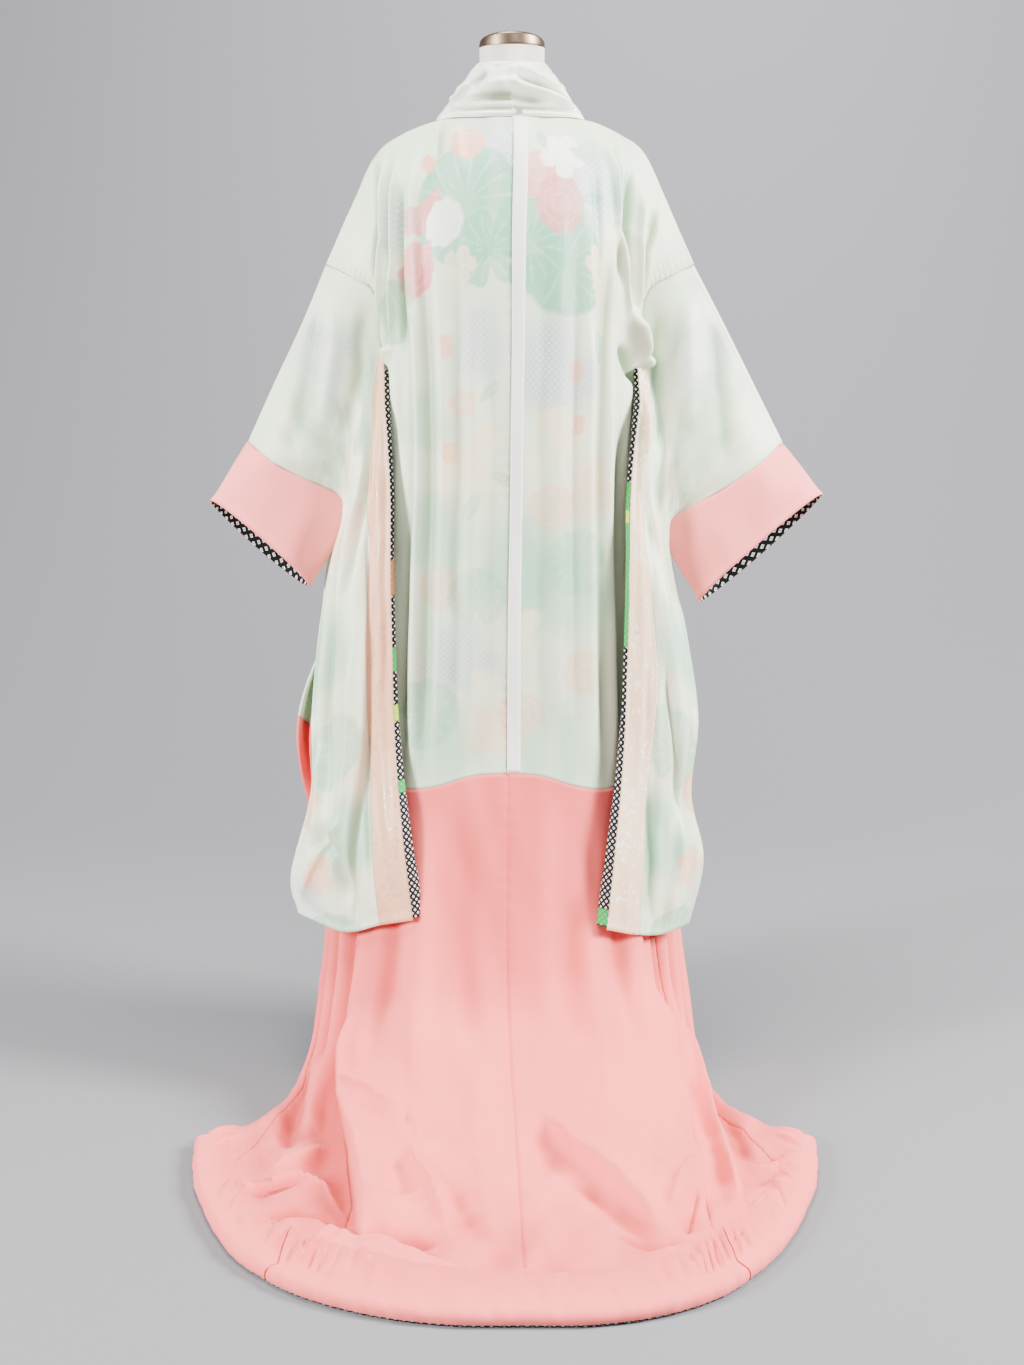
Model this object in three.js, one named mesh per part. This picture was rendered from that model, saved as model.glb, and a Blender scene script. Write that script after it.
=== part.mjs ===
// Bridal furisode, turned inside out, on a limbless dress form.
//
// Units are millimetres and +Z is up. The origin is the middle of the stand's underside. The back
// of the garment faces -Y, so tables give a distance "back" (= -y) towards the viewer. Every
// garment panel is a thin closed sheet: a patch of a smooth surface through a short table, with
// half a cloth thickness on either side. Left is -X, and one table row is one section.
import * as THREE from 'three';
import { mergeVertices } from 'three/addons/utils/BufferGeometryUtils.js';

const CLOTH = 2.0;             // thickness of one garment wall: face cloth and lining together
const HALF_CLOTH = CLOTH / 2;
const TRIM = 1.2;              // thickness of a strip sewn on a panel
const SEAM = 0.4;              // gap between neighbouring pieces
const NECK_RADIUS = 47;
const NECK_TOP = 1500;
const CAP_WALL_TOP = 1512;     // upper end of the neck cap's straight side
const CAP_LEAN = 8;            // the cap's top rises this much towards the back
const POLE_RADIUS = 14;
const BASE_RADIUS = 165;
const BASE_HEIGHT = 14;
const HIP_HEIGHT = 742;        // underside of the torso
const PLATE_RADIUS = 120;
const PLATE_HEIGHT = 8;
const STRIP_WIDTH = 19;        // centre-back strip
const PART_GAP = 0.3;          // gap between the stand's parts, and under what lies on a panel
const HEM_ROLL = 11;           // radius of the padded hem
const HEM_FLAT = 0.86;         // its flat underside, as a share of the radius
const PINK_ROW = 7;            // body row of the seam between the two linings
const HEM_ROW = 12;
const OVERLAP_COLUMNS = 2;

// Sections down the back half of the body. Each entry is [out, back, up] from the centre-back
// seam to the side seam; above "armhole_end" the last entry is the armhole edge.
const BACK = [
  // centre,           neck middle,     neck side,        shoulder,        shoulder point,  upper arm,       side
  [[0, 74, 1409],      [54, 58, 1409],  [106, 22, 1409],  [157, 8, 1391],  [194, 2, 1363],  [234, 2, 1284],  [270, 3, 1207]],
  [[0, 110, 1343],     [54, 106, 1341], [106, 90, 1333],  [152, 62, 1315], [186, 40, 1287], [213, 27, 1240], [232, 20, 1188]],
  [[0, 129, 1240],     [51, 129, 1238], [99, 121, 1230],  [142, 100, 1216], [171, 73, 1201], [189, 47, 1185], [199, 27, 1166]],
  [[0, 134, 1130],     [48, 134, 1129], [93, 127, 1125],  [132, 108, 1119], [157, 78, 1111], [176, 50, 1101], [189, 25, 1090]],
  [[0, 136, 1010],     [46, 136, 1010], [90, 130, 1010],  [128, 112, 1012], [152, 82, 1015], [172, 52, 1020], [184, 24, 1026]],
  [[0, 139, 860],      [46, 139, 860],  [90, 133, 860],   [128, 115, 862], [152, 85, 865],  [173, 52, 870],  [186, 20, 875]],
  [[0, 147, 680],      [48, 147, 680],  [94, 141, 680],   [134, 124, 680], [159, 94, 682],  [182, 58, 685],  [196, 22, 690]],
  [[0, 165, 478],      [50, 165, 474],  [98, 159, 458],   [140, 143, 449], [171, 116, 451], [193, 81, 460],  [207, 42, 470]],
  [[0, 245, 240],      [48, 244, 238],  [94, 236, 236],   [136, 219, 234], [171, 192, 235], [196, 160, 238], [213, 124, 242]],
  [[0, 355, 120],      [49, 354, 119],  [96, 345, 117],   [139, 327, 115], [176, 300, 115], [205, 266, 117], [226, 228, 120]],
  [[0, 500, 48],       [50, 499, 48],   [98, 490, 47],    [142, 472, 46],  [180, 446, 46],  [212, 412, 47],  [238, 372, 48]],
  [[0, 680, 26],       [52, 679, 26],   [101, 670, 26],   [147, 652, 26],  [189, 625, 26],  [225, 590, 26],  [254, 548, 26]],
  [[0, 872, 13],       [66, 872, 13],   [124, 862, 13],   [174, 844, 13],  [214, 822, 13],  [245, 799, 13],  [271, 772, 13]],
];

// Sections down the front half, from the armhole edge or side seam forward to the front edge.
// The fronts hang open: they leave the form at the waist and sweep round to the sides.
const FRONT = [
  // side,             side front,       middle,           overlap seam,     overlap,          front edge
  [[270, -2, 1207],    [234, -3, 1284],  [194, -3, 1363],  [157, 2, 1391],   [131, 8, 1401],   [106, 15, 1409]],
  [[234, -16, 1188],   [215, -34, 1240], [184, -56, 1300], [150, -66, 1330], [118, -66, 1342], [90, -62, 1350]],
  [[199, -20, 1166],   [188, -52, 1190], [166, -84, 1210], [140, -106, 1225], [112, -118, 1235], [82, -122, 1242]],
  [[189, -12, 1090],   [180, -50, 1100], [163, -84, 1110], [140, -110, 1118], [114, -126, 1124], [86, -134, 1130]],
  [[184, 21, 1026],    [182, -26, 1022], [172, -68, 1022], [153, -104, 1028], [128, -126, 1036], [98, -138, 1044]],
  [[187, 17, 875],     [196, -22, 880],  [197, -63, 890],  [184, -99, 905],  [161, -125, 925], [131, -141, 945]],
  [[197, 19, 690],     [215, -15, 700],  [229, -53, 715],  [234, -85, 735],  [225, -107, 760], [208, -119, 790]],
  [[208, 39, 470],     [235, 14, 476],   [262, -10, 486],  [285, -28, 498],  [304, -36, 512],  [322, -34, 527]],
  [[214, 121, 242],    [237, 90, 244],   [254, 56, 248],   [264, 20, 256],   [269, -16, 266],  [272, -50, 280]],
  [[228, 225, 120],    [248, 190, 116],  [262, 154, 112],  [271, 116, 110],  [276, 78, 112],   [279, 38, 118]],
  [[240, 369, 48],     [266, 332, 44],   [285, 294, 41],   [296, 255, 37],   [297, 214, 35],   [291, 172, 35]],
  [[256, 545, 26],     [290, 502, 25],   [316, 454, 24],   [335, 404, 22],   [341, 354, 20],   [331, 302, 18]],
  [[273, 769, 13],     [309, 722, 13],   [345, 650, 13],   [384, 540, 13],   [400, 460, 13],   [409, 381, 13]],
];

// The right front edge hangs closer to the form than the left one: how much each section comes in.
const RIGHT_TUCK = [0, 0, 0, 0, 0, 0, 16, 44, 8, 0, 0, 0, 0];

// How far each section stands off the middle plane at the centre seam and at the front edge.
const DRIFT = [
  // centre, edge
  [2, -4], [2, -3], [0, -3], [0, -2], [-1, -2], [-3, -5], [-6, -8], [-7, -10], [-7, -13], [-3, -13], [5, -12], [11, -10], [17, -9],
];

// Sleeves: four stations from the body side to the outer edge, each [out, up, back, half gap
// between the sleeve's two layers]. The first three rows run along the armhole and the cuff seam.
const SLEEVE = {
  left: [
    // body side,            inner,                outer,               outer edge
    [[273.6, 1206, 1, 1.5],    [309, 1122, 12, 1.5], [350, 1036, 24, 1.5], [389, 951, 36, 1.5]],
    [[216, 1170, 3, 18],     [262, 1087, 14, 24],  [306, 998, 28, 27],   [346, 920, 42, 25]],
    [[196, 1090, 10, 17],    [216, 1010, 24, 26],  [244, 937, 38, 24],   [264, 872, 48, 4]],
    [[184, 985, 45, 25],     [204, 930, 44, 30],   [230, 880, 46, 24],   [252, 832, 50, 3]],
    [[177, 880, 58, 40],     [207, 835, 56, 38],   [244, 790, 54, 28],   [274, 745, 52, 2]],
    [[176, 785, 74, 44],     [211, 742, 66, 42],   [250, 700, 60, 30],   [289, 662, 56, 2]],
    [[174, 645, 86, 46],     [212, 604, 76, 42],   [255, 568, 68, 32],   [300, 545, 62, 2]],
    [[170, 510, 106, 44],    [211, 476, 92, 38],   [258, 446, 80, 30],   [303, 428, 70, 2]],
    [[158, 392, 179, 16],    [205, 362, 150, 18],  [262, 332, 112, 20],  [333, 306, 88, 2]],
    [[143, 276, 226, 1.5],   [192, 258, 190, 1.5], [250, 236, 152, 1.5], [320, 252, 112, 1.5]],
  ],
  right: [
    [[267.3, 1206, 1, 1.5],    [313, 1119, 12, 1.5], [356, 1034, 24, 1.5], [399, 949, 36, 1.5]],
    [[224, 1160, 3, 18],     [266, 1082, 14, 24],  [306, 994, 28, 27],   [345, 906, 42, 25]],
    [[199, 1088, 10, 17],    [216, 1008, 24, 26],  [238, 926, 38, 24],   [250, 840, 48, 4]],
    [[184, 990, 45, 25],     [202, 932, 44, 30],   [220, 868, 46, 24],   [234, 800, 50, 3]],
    [[172, 885, 58, 40],     [194, 832, 56, 38],   [220, 780, 54, 28],   [245, 735, 52, 2]],
    [[170, 785, 74, 44],     [196, 742, 66, 42],   [228, 698, 60, 30],   [262, 660, 56, 2]],
    [[168, 645, 86, 46],     [198, 604, 76, 42],   [236, 564, 68, 32],   [279, 540, 62, 2]],
    [[163, 505, 106, 44],    [194, 466, 92, 38],   [232, 436, 80, 30],   [270, 425, 70, 2]],
    [[150, 378, 179, 16],    [186, 350, 150, 18],  [232, 330, 112, 20],  [288, 330, 88, 2]],
    [[137, 262, 226, 1.5],   [178, 244, 190, 1.5], [222, 232, 152, 1.5], [266, 236, 112, 1.5]],
  ],
};
// How much farther out the front layer starts than the back one, so that the sleeve straddles
// the body, one value a sleeve row.
const SLEEVE_STRADDLE = [0, 0, 0, 14, 24, 30, 40, 40, 10, 0];
const ARMHOLE_TOP_GAP = 0.6;   // sleeve to body at the top of the armhole
const ARMHOLE_GAP = 2.4;       // and farther down, where the facets of the two differ
const FACING_WIDTH = 0.9;      // width of the facing strip, in sleeve stations
const CUFF_ROWS = 2;           // sleeve rows that end in the cuff

// Torso sections: height, half width, reach to the back, reach to the front.
const TORSO = [
  [742, 150, 104, 98], [790, 156, 110, 102], [860, 148, 106, 98], [940, 128, 92, 88], [1000, 120, 86, 90],
  [1080, 134, 94, 108], [1150, 148, 104, 112], [1230, 160, 104, 98], [1290, 165, 92, 76], [1335, 163, 68, 50],
  [1362, 154, 46, 30], [1376, 138, 36, 22], [1388, 112, 34, 18], [1399, 86, 40, 24], [1410, 62, 46, 40],
  [1428, 50, 47, 46], [1460, 47, 47, 47], [1500, 47, 47, 47],
];

const COLORS = {
  mint: 0xdfe8df, pink: 0xf5b5b3, collar: 0xdbe4d8, cream: 0xf0dfd2, face: 0x1a1a22, strip: 0xf2f4ec,
  linen: 0xefe4da, bronze: 0x8a7763, steel: 0xb9bcc0,
};

const group = new THREE.Group();

function addMesh(name, geometry, color, roughness, metalness) {
  const material = new THREE.MeshStandardMaterial({ color, roughness, metalness });
  const mesh = new THREE.Mesh(geometry, material);
  mesh.name = name;
  group.add(mesh);
  return mesh;
}

// Catmull-Rom weights of the four values round a place between the second and the third.
function splineWeights(f) {
  const f2 = f * f;
  const f3 = f2 * f;
  return [(-f3 + 2 * f2 - f) / 2, (3 * f3 - 5 * f2 + 2) / 2, (-3 * f3 + 4 * f2 + f) / 2, (f3 - f2) / 2];
}

// Value of a list at a fractional place; beyond its ends the list goes on in a straight line.
function along(list, place, blend) {
  const last = list.length - 1;
  const cell = Math.min(Math.max(Math.floor(place), 0), last - 1);
  const weights = splineWeights(place - cell);
  const at = (i) => {
    if (i < 0) return blend([[list[0], 2], [list[1], -1]]);
    if (i > last) return blend([[list[last], 2], [list[last - 1], -1]]);
    return list[i];
  };
  return blend(weights.map((weight, k) => [at(cell - 1 + k), weight]));
}

function blendVectors(terms) {
  const size = terms[0][0].length;
  return Array.from({ length: size }, (_, k) => terms.reduce((sum, [value, weight]) => sum + value[k] * weight, 0));
}

// A point of a table surface: across counts columns and down counts rows.
function surfaceAt(table, across, down) {
  const columns = (row) => along(row, across, blendVectors);
  return along(table.map((row, i) => (Math.abs(i - down) < 3 ? columns(row) : row[0])), down, blendVectors);
}

const driftAt = (down) => along(DRIFT, down, blendVectors);

// Body surface: share runs from 0 at the centre-back seam to 1 at the front edge.
function bodyPoint(table, side, across, down) {
  const [out, back, up] = surfaceAt(table, across, down);
  const [centre, edge] = driftAt(down);
  const isBack = table === BACK;
  const share = isBack ? across / 11 : (across + 6) / 11;
  const drift = centre + (edge - centre) * Math.min(share * 1.6, 1);
  const tuck = side > 0 && !isBack ? (along(RIGHT_TUCK.map((v) => [v]), down, blendVectors)[0] * across) / 5 : 0;
  return new THREE.Vector3(side * out + drift - tuck, -back, up);
}

// A layer of a sleeve: layer is +1 for the layer towards the back, -1 for the one in front.
function sleevePoint(sideName, layer, across, down) {
  const side = sideName === 'left' ? -1 : 1;
  const [out, up, back, half] = surfaceAt(SLEEVE[sideName], across, down);
  const straddle = along(SLEEVE_STRADDLE.map((v) => [v]), down, blendVectors)[0];
  const shift = layer < 0 ? straddle * (1 - across / 3) : 0;
  const point = new THREE.Vector3(side * (out + shift), -(back + layer * half), up);
  const pull = Math.max(1 - across, 0) ** 2 * Math.min(Math.max((2.8 - down) / 0.6, 0), 1);
  return pull > 0 ? point.addScaledVector(armholeOffset(sideName, layer, down), pull) : point;
}

// From a sleeve's table edge to the body's armhole, just clear of it, for the rows down to 2.
function armholeOffset(sideName, layer, down) {
  const side = sideName === 'left' ? -1 : 1;
  const v = Math.min(Math.max(down, 0), 2);
  const table = layer > 0 ? BACK : FRONT;
  const armhole = bodyPoint(table, side, layer > 0 ? 6 : 0, 1.5 * v);
  const clearance = ARMHOLE_TOP_GAP + Math.min(v, 0.5) * 2 * (ARMHOLE_GAP - ARMHOLE_TOP_GAP);
  const [out, up, back, half] = surfaceAt(SLEEVE[sideName], 0, v);
  const open = Math.min(v, 0.5) * 2;
  const target = new THREE.Vector3(
    armhole.x + side * clearance * (1 - open), armhole.y * open - (back + layer * half) * (1 - open),
    armhole.z - clearance * 0.4,
  );
  target.x += side * clearance * open;
  return target.sub(new THREE.Vector3(side * out, -(back + layer * half), up));
}

// Unit normal of a point function by small steps, turned to face "outward".
function normalAt(point, u, v, outward) {
  const step = 0.02;
  const du = point(u + step, v).sub(point(u - step, v));
  const dv = point(u, v + step).sub(point(u, v - step));
  return du.cross(dv).normalize().multiplyScalar(outward);
}

// A closed sheet between two moved copies of a patch. range = [u0, u1, v0, v1]; u0 and u1 may be
// functions of v. low and high are the distances of its two faces along the outward normal.
function sheetGeometry(point, range, cells, low, high, outward) {
  const [u0, u1, v0, v1] = range;
  const [nu, nv] = cells;
  const value = (limit, v) => (typeof limit === 'function' ? limit(v) : limit);
  const positions = [];
  for (const distance of [low, high]) {
    for (let j = 0; j <= nv; j++) {
      const v = v0 + ((v1 - v0) * j) / nv;
      for (let i = 0; i <= nu; i++) {
        const a = value(u0, v);
        const u = a + ((value(u1, v) - a) * i) / nu;
        const place = point(u, v).addScaledVector(normalAt(point, u, v, outward), distance);
        positions.push(place.x, place.y, place.z);
      }
    }
  }
  const layer = (nu + 1) * (nv + 1);
  const id = (k, i, j) => k * layer + j * (nu + 1) + i;
  const index = [];
  const quad = (a, b, c, d) => index.push(a, b, c, a, c, d);
  for (let j = 0; j < nv; j++) {
    for (let i = 0; i < nu; i++) {
      quad(id(1, i, j), id(1, i + 1, j), id(1, i + 1, j + 1), id(1, i, j + 1));
      quad(id(0, i, j), id(0, i, j + 1), id(0, i + 1, j + 1), id(0, i + 1, j));
    }
  }
  for (let i = 0; i < nu; i++) {
    quad(id(0, i, 0), id(0, i + 1, 0), id(1, i + 1, 0), id(1, i, 0));
    quad(id(1, i + 1, nv), id(0, i + 1, nv), id(0, i, nv), id(1, i, nv));
  }
  for (let j = 0; j < nv; j++) {
    quad(id(1, 0, j), id(1, 0, j + 1), id(0, 0, j + 1), id(0, 0, j));
    quad(id(0, nu, j + 1), id(1, nu, j + 1), id(1, nu, j), id(0, nu, j));
  }
  return closedGeometry(positions, index);
}

// Indexed geometry whose triangles all face out, whichever way the patch ran.
function closedGeometry(positions, index) {
  const geometry = new THREE.BufferGeometry();
  geometry.setAttribute('position', new THREE.Float32BufferAttribute(positions, 3));
  geometry.setIndex(signedVolume(positions, index) < 0 ? index.slice().reverse() : index);
  const merged = mergeVertices(geometry, 1e-4);
  merged.computeVertexNormals();
  return merged;
}

function signedVolume(positions, index) {
  const corner = (n) => new THREE.Vector3().fromArray(positions, 3 * n);
  let volume = 0;
  for (let k = 0; k < index.length; k += 3) {
    volume += corner(index[k]).dot(corner(index[k + 1]).cross(corner(index[k + 2])));
  }
  return volume;
}

// A solid through closed rings of equal point counts, with a flat end on the first and last ring.
function ringSolid(rings) {
  const count = rings[0].length;
  const positions = rings.flat().flatMap((p) => [p.x, p.y, p.z]);
  const index = [];
  const id = (r, i) => r * count + (i % count);
  for (let r = 0; r < rings.length - 1; r++) {
    for (let i = 0; i < count; i++) {
      index.push(id(r, i), id(r, i + 1), id(r + 1, i + 1), id(r, i), id(r + 1, i + 1), id(r + 1, i));
    }
  }
  for (const ring of [0, rings.length - 1]) {
    const middle = new THREE.Vector3();
    rings[ring].forEach((p) => middle.addScaledVector(p, 1 / count));
    positions.push(middle.x, middle.y, middle.z);
    const hub = positions.length / 3 - 1;
    for (let i = 0; i < count; i++) {
      const edge = ring === 0 ? [id(ring, i + 1), id(ring, i)] : [id(ring, i), id(ring, i + 1)];
      index.push(hub, ...edge);
    }
  }
  return closedGeometry(positions, index);
}

// A ring of points round the vertical axis, from its radius or height at an angle.
const ringOf = (count, point) => Array.from({ length: count }, (_, i) => point((2 * Math.PI * i) / count));

// A cylinder standing upright between two heights.
function uprightCylinder(topRadius, radius, low, high, sides) {
  const geometry = new THREE.CylinderGeometry(topRadius, radius, high - low, sides);
  return geometry.rotateX(Math.PI / 2).translate(0, 0, (low + high) / 2);
}

// A torso section: an ellipse with a squarer outline on the body and a plain one on the neck.
function torsoRing([up, half, back, front]) {
  const power = up < 1428 ? 0.86 : 1;
  return ringOf(40, (angle) => {
    const c = Math.cos(angle);
    const s = Math.sin(angle);
    const reach = s < 0 ? back : front;
    return new THREE.Vector3(half * Math.sign(c) * Math.abs(c) ** power, reach * Math.sign(s) * Math.abs(s) ** power, up);
  });
}

// A section of the neck cap, tilted up towards the back.
function capRing(radius, up, lean) {
  return ringOf(32, (angle) => {
    const y = -radius * Math.cos(angle);
    return new THREE.Vector3(radius * Math.sin(angle), y, up - (lean * y) / NECK_RADIUS);
  });
}

function addForm() {
  addMesh('form_torso', ringSolid(TORSO.map(torsoRing)), COLORS.linen, 0.9, 0);
  const cap = [
    capRing(NECK_RADIUS, NECK_TOP + PART_GAP, 0), capRing(NECK_RADIUS, CAP_WALL_TOP, CAP_LEAN),
    capRing(43, 1522, CAP_LEAN), capRing(30, 1524, CAP_LEAN),
  ];
  addMesh('neck_cap', ringSolid(cap), COLORS.bronze, 0.35, 0.8);
  const plateTop = HIP_HEIGHT - PART_GAP;
  const plateLow = plateTop - PLATE_HEIGHT;
  const plate = uprightCylinder(PLATE_RADIUS, PLATE_RADIUS, plateLow, plateTop, 40).scale(1, 0.68, 1);
  addMesh('hip_plate', plate, COLORS.bronze, 0.5, 0.6);
  const pole = uprightCylinder(POLE_RADIUS, POLE_RADIUS, BASE_HEIGHT + PART_GAP, plateLow - PART_GAP, 24);
  addMesh('stand_pole', pole, COLORS.bronze, 0.35, 0.8);
  addMesh('stand_base', uprightCylinder(BASE_RADIUS - 6, BASE_RADIUS, 0, BASE_HEIGHT, 48), COLORS.bronze, 0.4, 0.8);
}

// The okumi, the overlap strip, tapers up to the front edge from row 5.5 to row 2.1.
const overlapSeam = (down) => 3 + 2 * Math.min(Math.max((5.5 - down) / 3.4, 0), 1);

function addBody(sideName) {
  const side = sideName === 'left' ? -1 : 1;
  const back = (u, v) => bodyPoint(BACK, side, u, v);
  const front = (u, v) => bodyPoint(FRONT, side, u, v);
  const cu = SEAM / 48;          // the seam gap as a share of a column, columns being about 48 wide
  const cv = SEAM / 2 / 120;     // half the gap as a share of a row
  const panel = (name, point, range, cells, color) => {
    addMesh(`${name}_${sideName}`, sheetGeometry(point, range, cells, -HALF_CLOTH, HALF_CLOTH, side), COLORS[color], 0.55, 0);
  };
  const afterSeam = (v) => overlapSeam(v) + cu;
  const beforeSeam = (v) => overlapSeam(v) - cu;
  panel('lining_back', back, [cu, 6, 0, PINK_ROW - cv], [9, 16], 'mint');
  panel('lining_front', front, [0, beforeSeam, 0, PINK_ROW - cv], [6, 16], 'mint');
  panel('overlap_upper', front, [afterSeam, 5, 2.625, PINK_ROW - cv], [OVERLAP_COLUMNS, 10], 'mint');
  panel('skirt_lining_back', back, [cu, 6, PINK_ROW + cv, HEM_ROW], [9, 12], 'pink');
  panel('skirt_lining_front', front, [0, 3 - cu, PINK_ROW + cv, HEM_ROW], [6, 12], 'pink');
  panel('overlap_lower', front, [3 + cu, 5, PINK_ROW + cv, HEM_ROW], [4, 12], 'pink');
}

function addSeamStrip() {
  const point = (u, v) => bodyPoint(BACK, 1, u, v);
  const low = HALF_CLOTH + PART_GAP;
  const range = [0.02, 0.02 + STRIP_WIDTH / 50, 0.4375, PINK_ROW - 0.02];
  addMesh('seam_strip', sheetGeometry(point, range, [1, 15], low, low + TRIM, 1), COLORS.strip, 0.5, 0);
}

// The padded hem follows the lower edge from one front corner round the back to the other.
function addHemRoll(name, side, table, u0, u1, count) {
  const rings = [];
  for (let k = 0; k <= count; k++) {
    const u = u0 + ((u1 - u0) * k) / count;
    const edge = bodyPoint(table, side, u, HEM_ROW);
    const inner = bodyPoint(table, side, u, HEM_ROW - 0.05);
    const away = edge.clone().sub(inner).setZ(0).normalize();
    const centre = edge.clone().addScaledVector(away, HEM_ROLL - PART_GAP);
    rings.push(Array.from({ length: 10 }, (_, i) => {
      const angle = (2 * Math.PI * i) / 10;
      const up = HEM_ROLL * Math.max(Math.sin(angle), -HEM_FLAT);
      return centre.clone().addScaledVector(away, HEM_ROLL * Math.cos(angle)).setZ(HEM_ROLL * HEM_FLAT + up);
    }));
  }
  addMesh(name, ringSolid(rings), COLORS.pink, 0.6, 0);
}

// The collar: a band sewn to the neckline and both front edges. place runs from the centre back:
// 0 to 3 along the back neckline, then 3 to 15 down the front edge; rise runs 0..1 from the seam
// to the free edge. The table gives the free edge.
const COLLAR = [
  // place, out, back, up
  [0, 0, 48.8, 1488], [1.5, 31, 41, 1488], [3, 50, 14, 1487], [4.5, 56, -24, 1462], [5.3, 46, -76, 1398],
  [7.6, 24, -138, 1266], [9.9, 20, -154, 1140], [12.2, 34, -160, 1028], [15, 76, -168, 905],
];
const NECK_PLACES = 3;
const COLLAR_END = 15;
const FRONT_STEP = 7 / 16;     // front panel rows a collar place

function collarSeam(place) {
  const side = place < 0 ? -1 : 1;
  const far = Math.abs(place);
  if (far < NECK_PLACES) {
    const u = (far * 2) / NECK_PLACES;
    const edge = bodyPoint(BACK, side, u, 0);
    return edge.setX(edge.x * Math.min(far, 1)).add(new THREE.Vector3(0, 0, SEAM));
  }
  const row = (far - NECK_PLACES) * FRONT_STEP;
  const edge = bodyPoint(FRONT, side, 5, row);
  const inward = edge.clone().sub(bodyPoint(FRONT, side, 4.9, row)).normalize();
  return edge.addScaledVector(inward, SEAM + 0.2);
}

function collarPoint(place, rise) {
  const side = place < 0 ? -1 : 1;
  const far = Math.min(Math.abs(place), COLLAR_END);
  const cell = Math.max(COLLAR.findIndex((r) => r[0] >= far) - 1, 0);
  const share = (far - COLLAR[cell][0]) / (COLLAR[cell + 1][0] - COLLAR[cell][0]);
  const [, out, back, up] = along(COLLAR, cell + share, blendVectors);
  const free = new THREE.Vector3(side * out - (far / COLLAR_END) * 4, -back, up);
  const bulge = 7 * Math.sin(Math.PI * rise) * Math.max(0, 1 - far / 5);
  return collarSeam(place).lerp(free, rise).add(new THREE.Vector3(0, -bulge, 0));
}

function addCollar() {
  const range = [-COLLAR_END, COLLAR_END, 0.02, 1];
  const geometry = sheetGeometry(collarPoint, range, [2 * COLLAR_END, 4], -HALF_CLOTH, HALF_CLOTH, -1);
  addMesh('collar', geometry, COLORS.collar, 0.4, 0);
}

// The snap sits flat on the collar just above its seam, a little beside the centre.
function addSnap() {
  const [corner, beside, above] = [[0, 0.02], [1, 0.02], [1, 0.265]].map(([u, v]) => collarPoint(u, v));
  const normal = beside.clone().sub(corner).cross(above.clone().sub(corner)).normalize();
  if (normal.y > 0) normal.negate();
  const snap = addMesh('collar_snap', new THREE.CylinderGeometry(4.5, 4.5, 2, 20), COLORS.steel, 0.3, 0.9);
  snap.position.copy(corner).lerp(beside, 0.3).add(above.sub(beside).multiplyScalar(0.28)).addScaledVector(normal, 2.5);
  snap.quaternion.setFromUnitVectors(new THREE.Vector3(0, 1, 0), normal);
}

// Lip of each cuff: its top and low point (out, up), their distance to the back, the half depth
// of the flattened ring, and how far its front side leads the back one.
const CUFF_LIP = {
  left: { top: [438, 874], low: [296, 748], back: 52, half: 26, lead: 16 },
  right: { top: [450, 883], low: [274, 726], back: 52, half: 26, lead: 16 },
};

// A place just beyond the sleeve's outer edge, where a cuff starts.
function cuffSeam(sideName, layer, v) {
  const seam = sleevePoint(sideName, layer, 3, v);
  const before = sleevePoint(sideName, layer, 2.95, v);
  return seam.addScaledVector(seam.clone().sub(before).normalize(), 2 * SEAM + 0.1);
}

// turn runs once round the cuff from its seam underneath, over the back to the top fold at 0.5 and
// down the front; reach runs 0..1 from the sleeve to the lip.
function cuffPoint(sideName, turn, reach) {
  const side = sideName === 'left' ? -1 : 1;
  const layer = turn < 0.5 ? 1 : -1;
  const v = CUFF_ROWS * Math.abs(1 - 2 * Math.min(Math.max(turn, 0), 1));
  const before = cuffSeam(sideName, layer, Math.floor(2 * v) / 2);
  const seam = before.lerp(cuffSeam(sideName, layer, Math.ceil(2 * v) / 2), (2 * v) % 1);
  if (Math.abs(turn - 0.5) < 0.001) seam.setY(-SLEEVE[sideName][0][3][2]);
  const { top, low, back, half, lead } = CUFF_LIP[sideName];
  const angle = 2 * Math.PI * turn;
  const share = (1 + Math.cos(angle)) / 2;
  const slip = (lead * (1 - Math.sin(angle))) / 2;
  const lip = new THREE.Vector3(
    side * (top[0] + (low[0] - top[0]) * share + slip * 0.5), -(back + half * Math.sin(angle)),
    top[1] + (low[1] - top[1]) * share - slip * 0.86,
  );
  return seam.lerp(lip, reach);
}

function addCuff(sideName) {
  const point = (u, v) => cuffPoint(sideName, u, v);
  const outward = sideName === 'left' ? 1 : -1;
  const geometry = sheetGeometry(point, [0.002, 0.998, 0, 1], [16, 3], -HALF_CLOTH, HALF_CLOTH, outward);
  addMesh(`cuff_${sideName}`, geometry, COLORS.pink, 0.65, 0);
}

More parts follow.
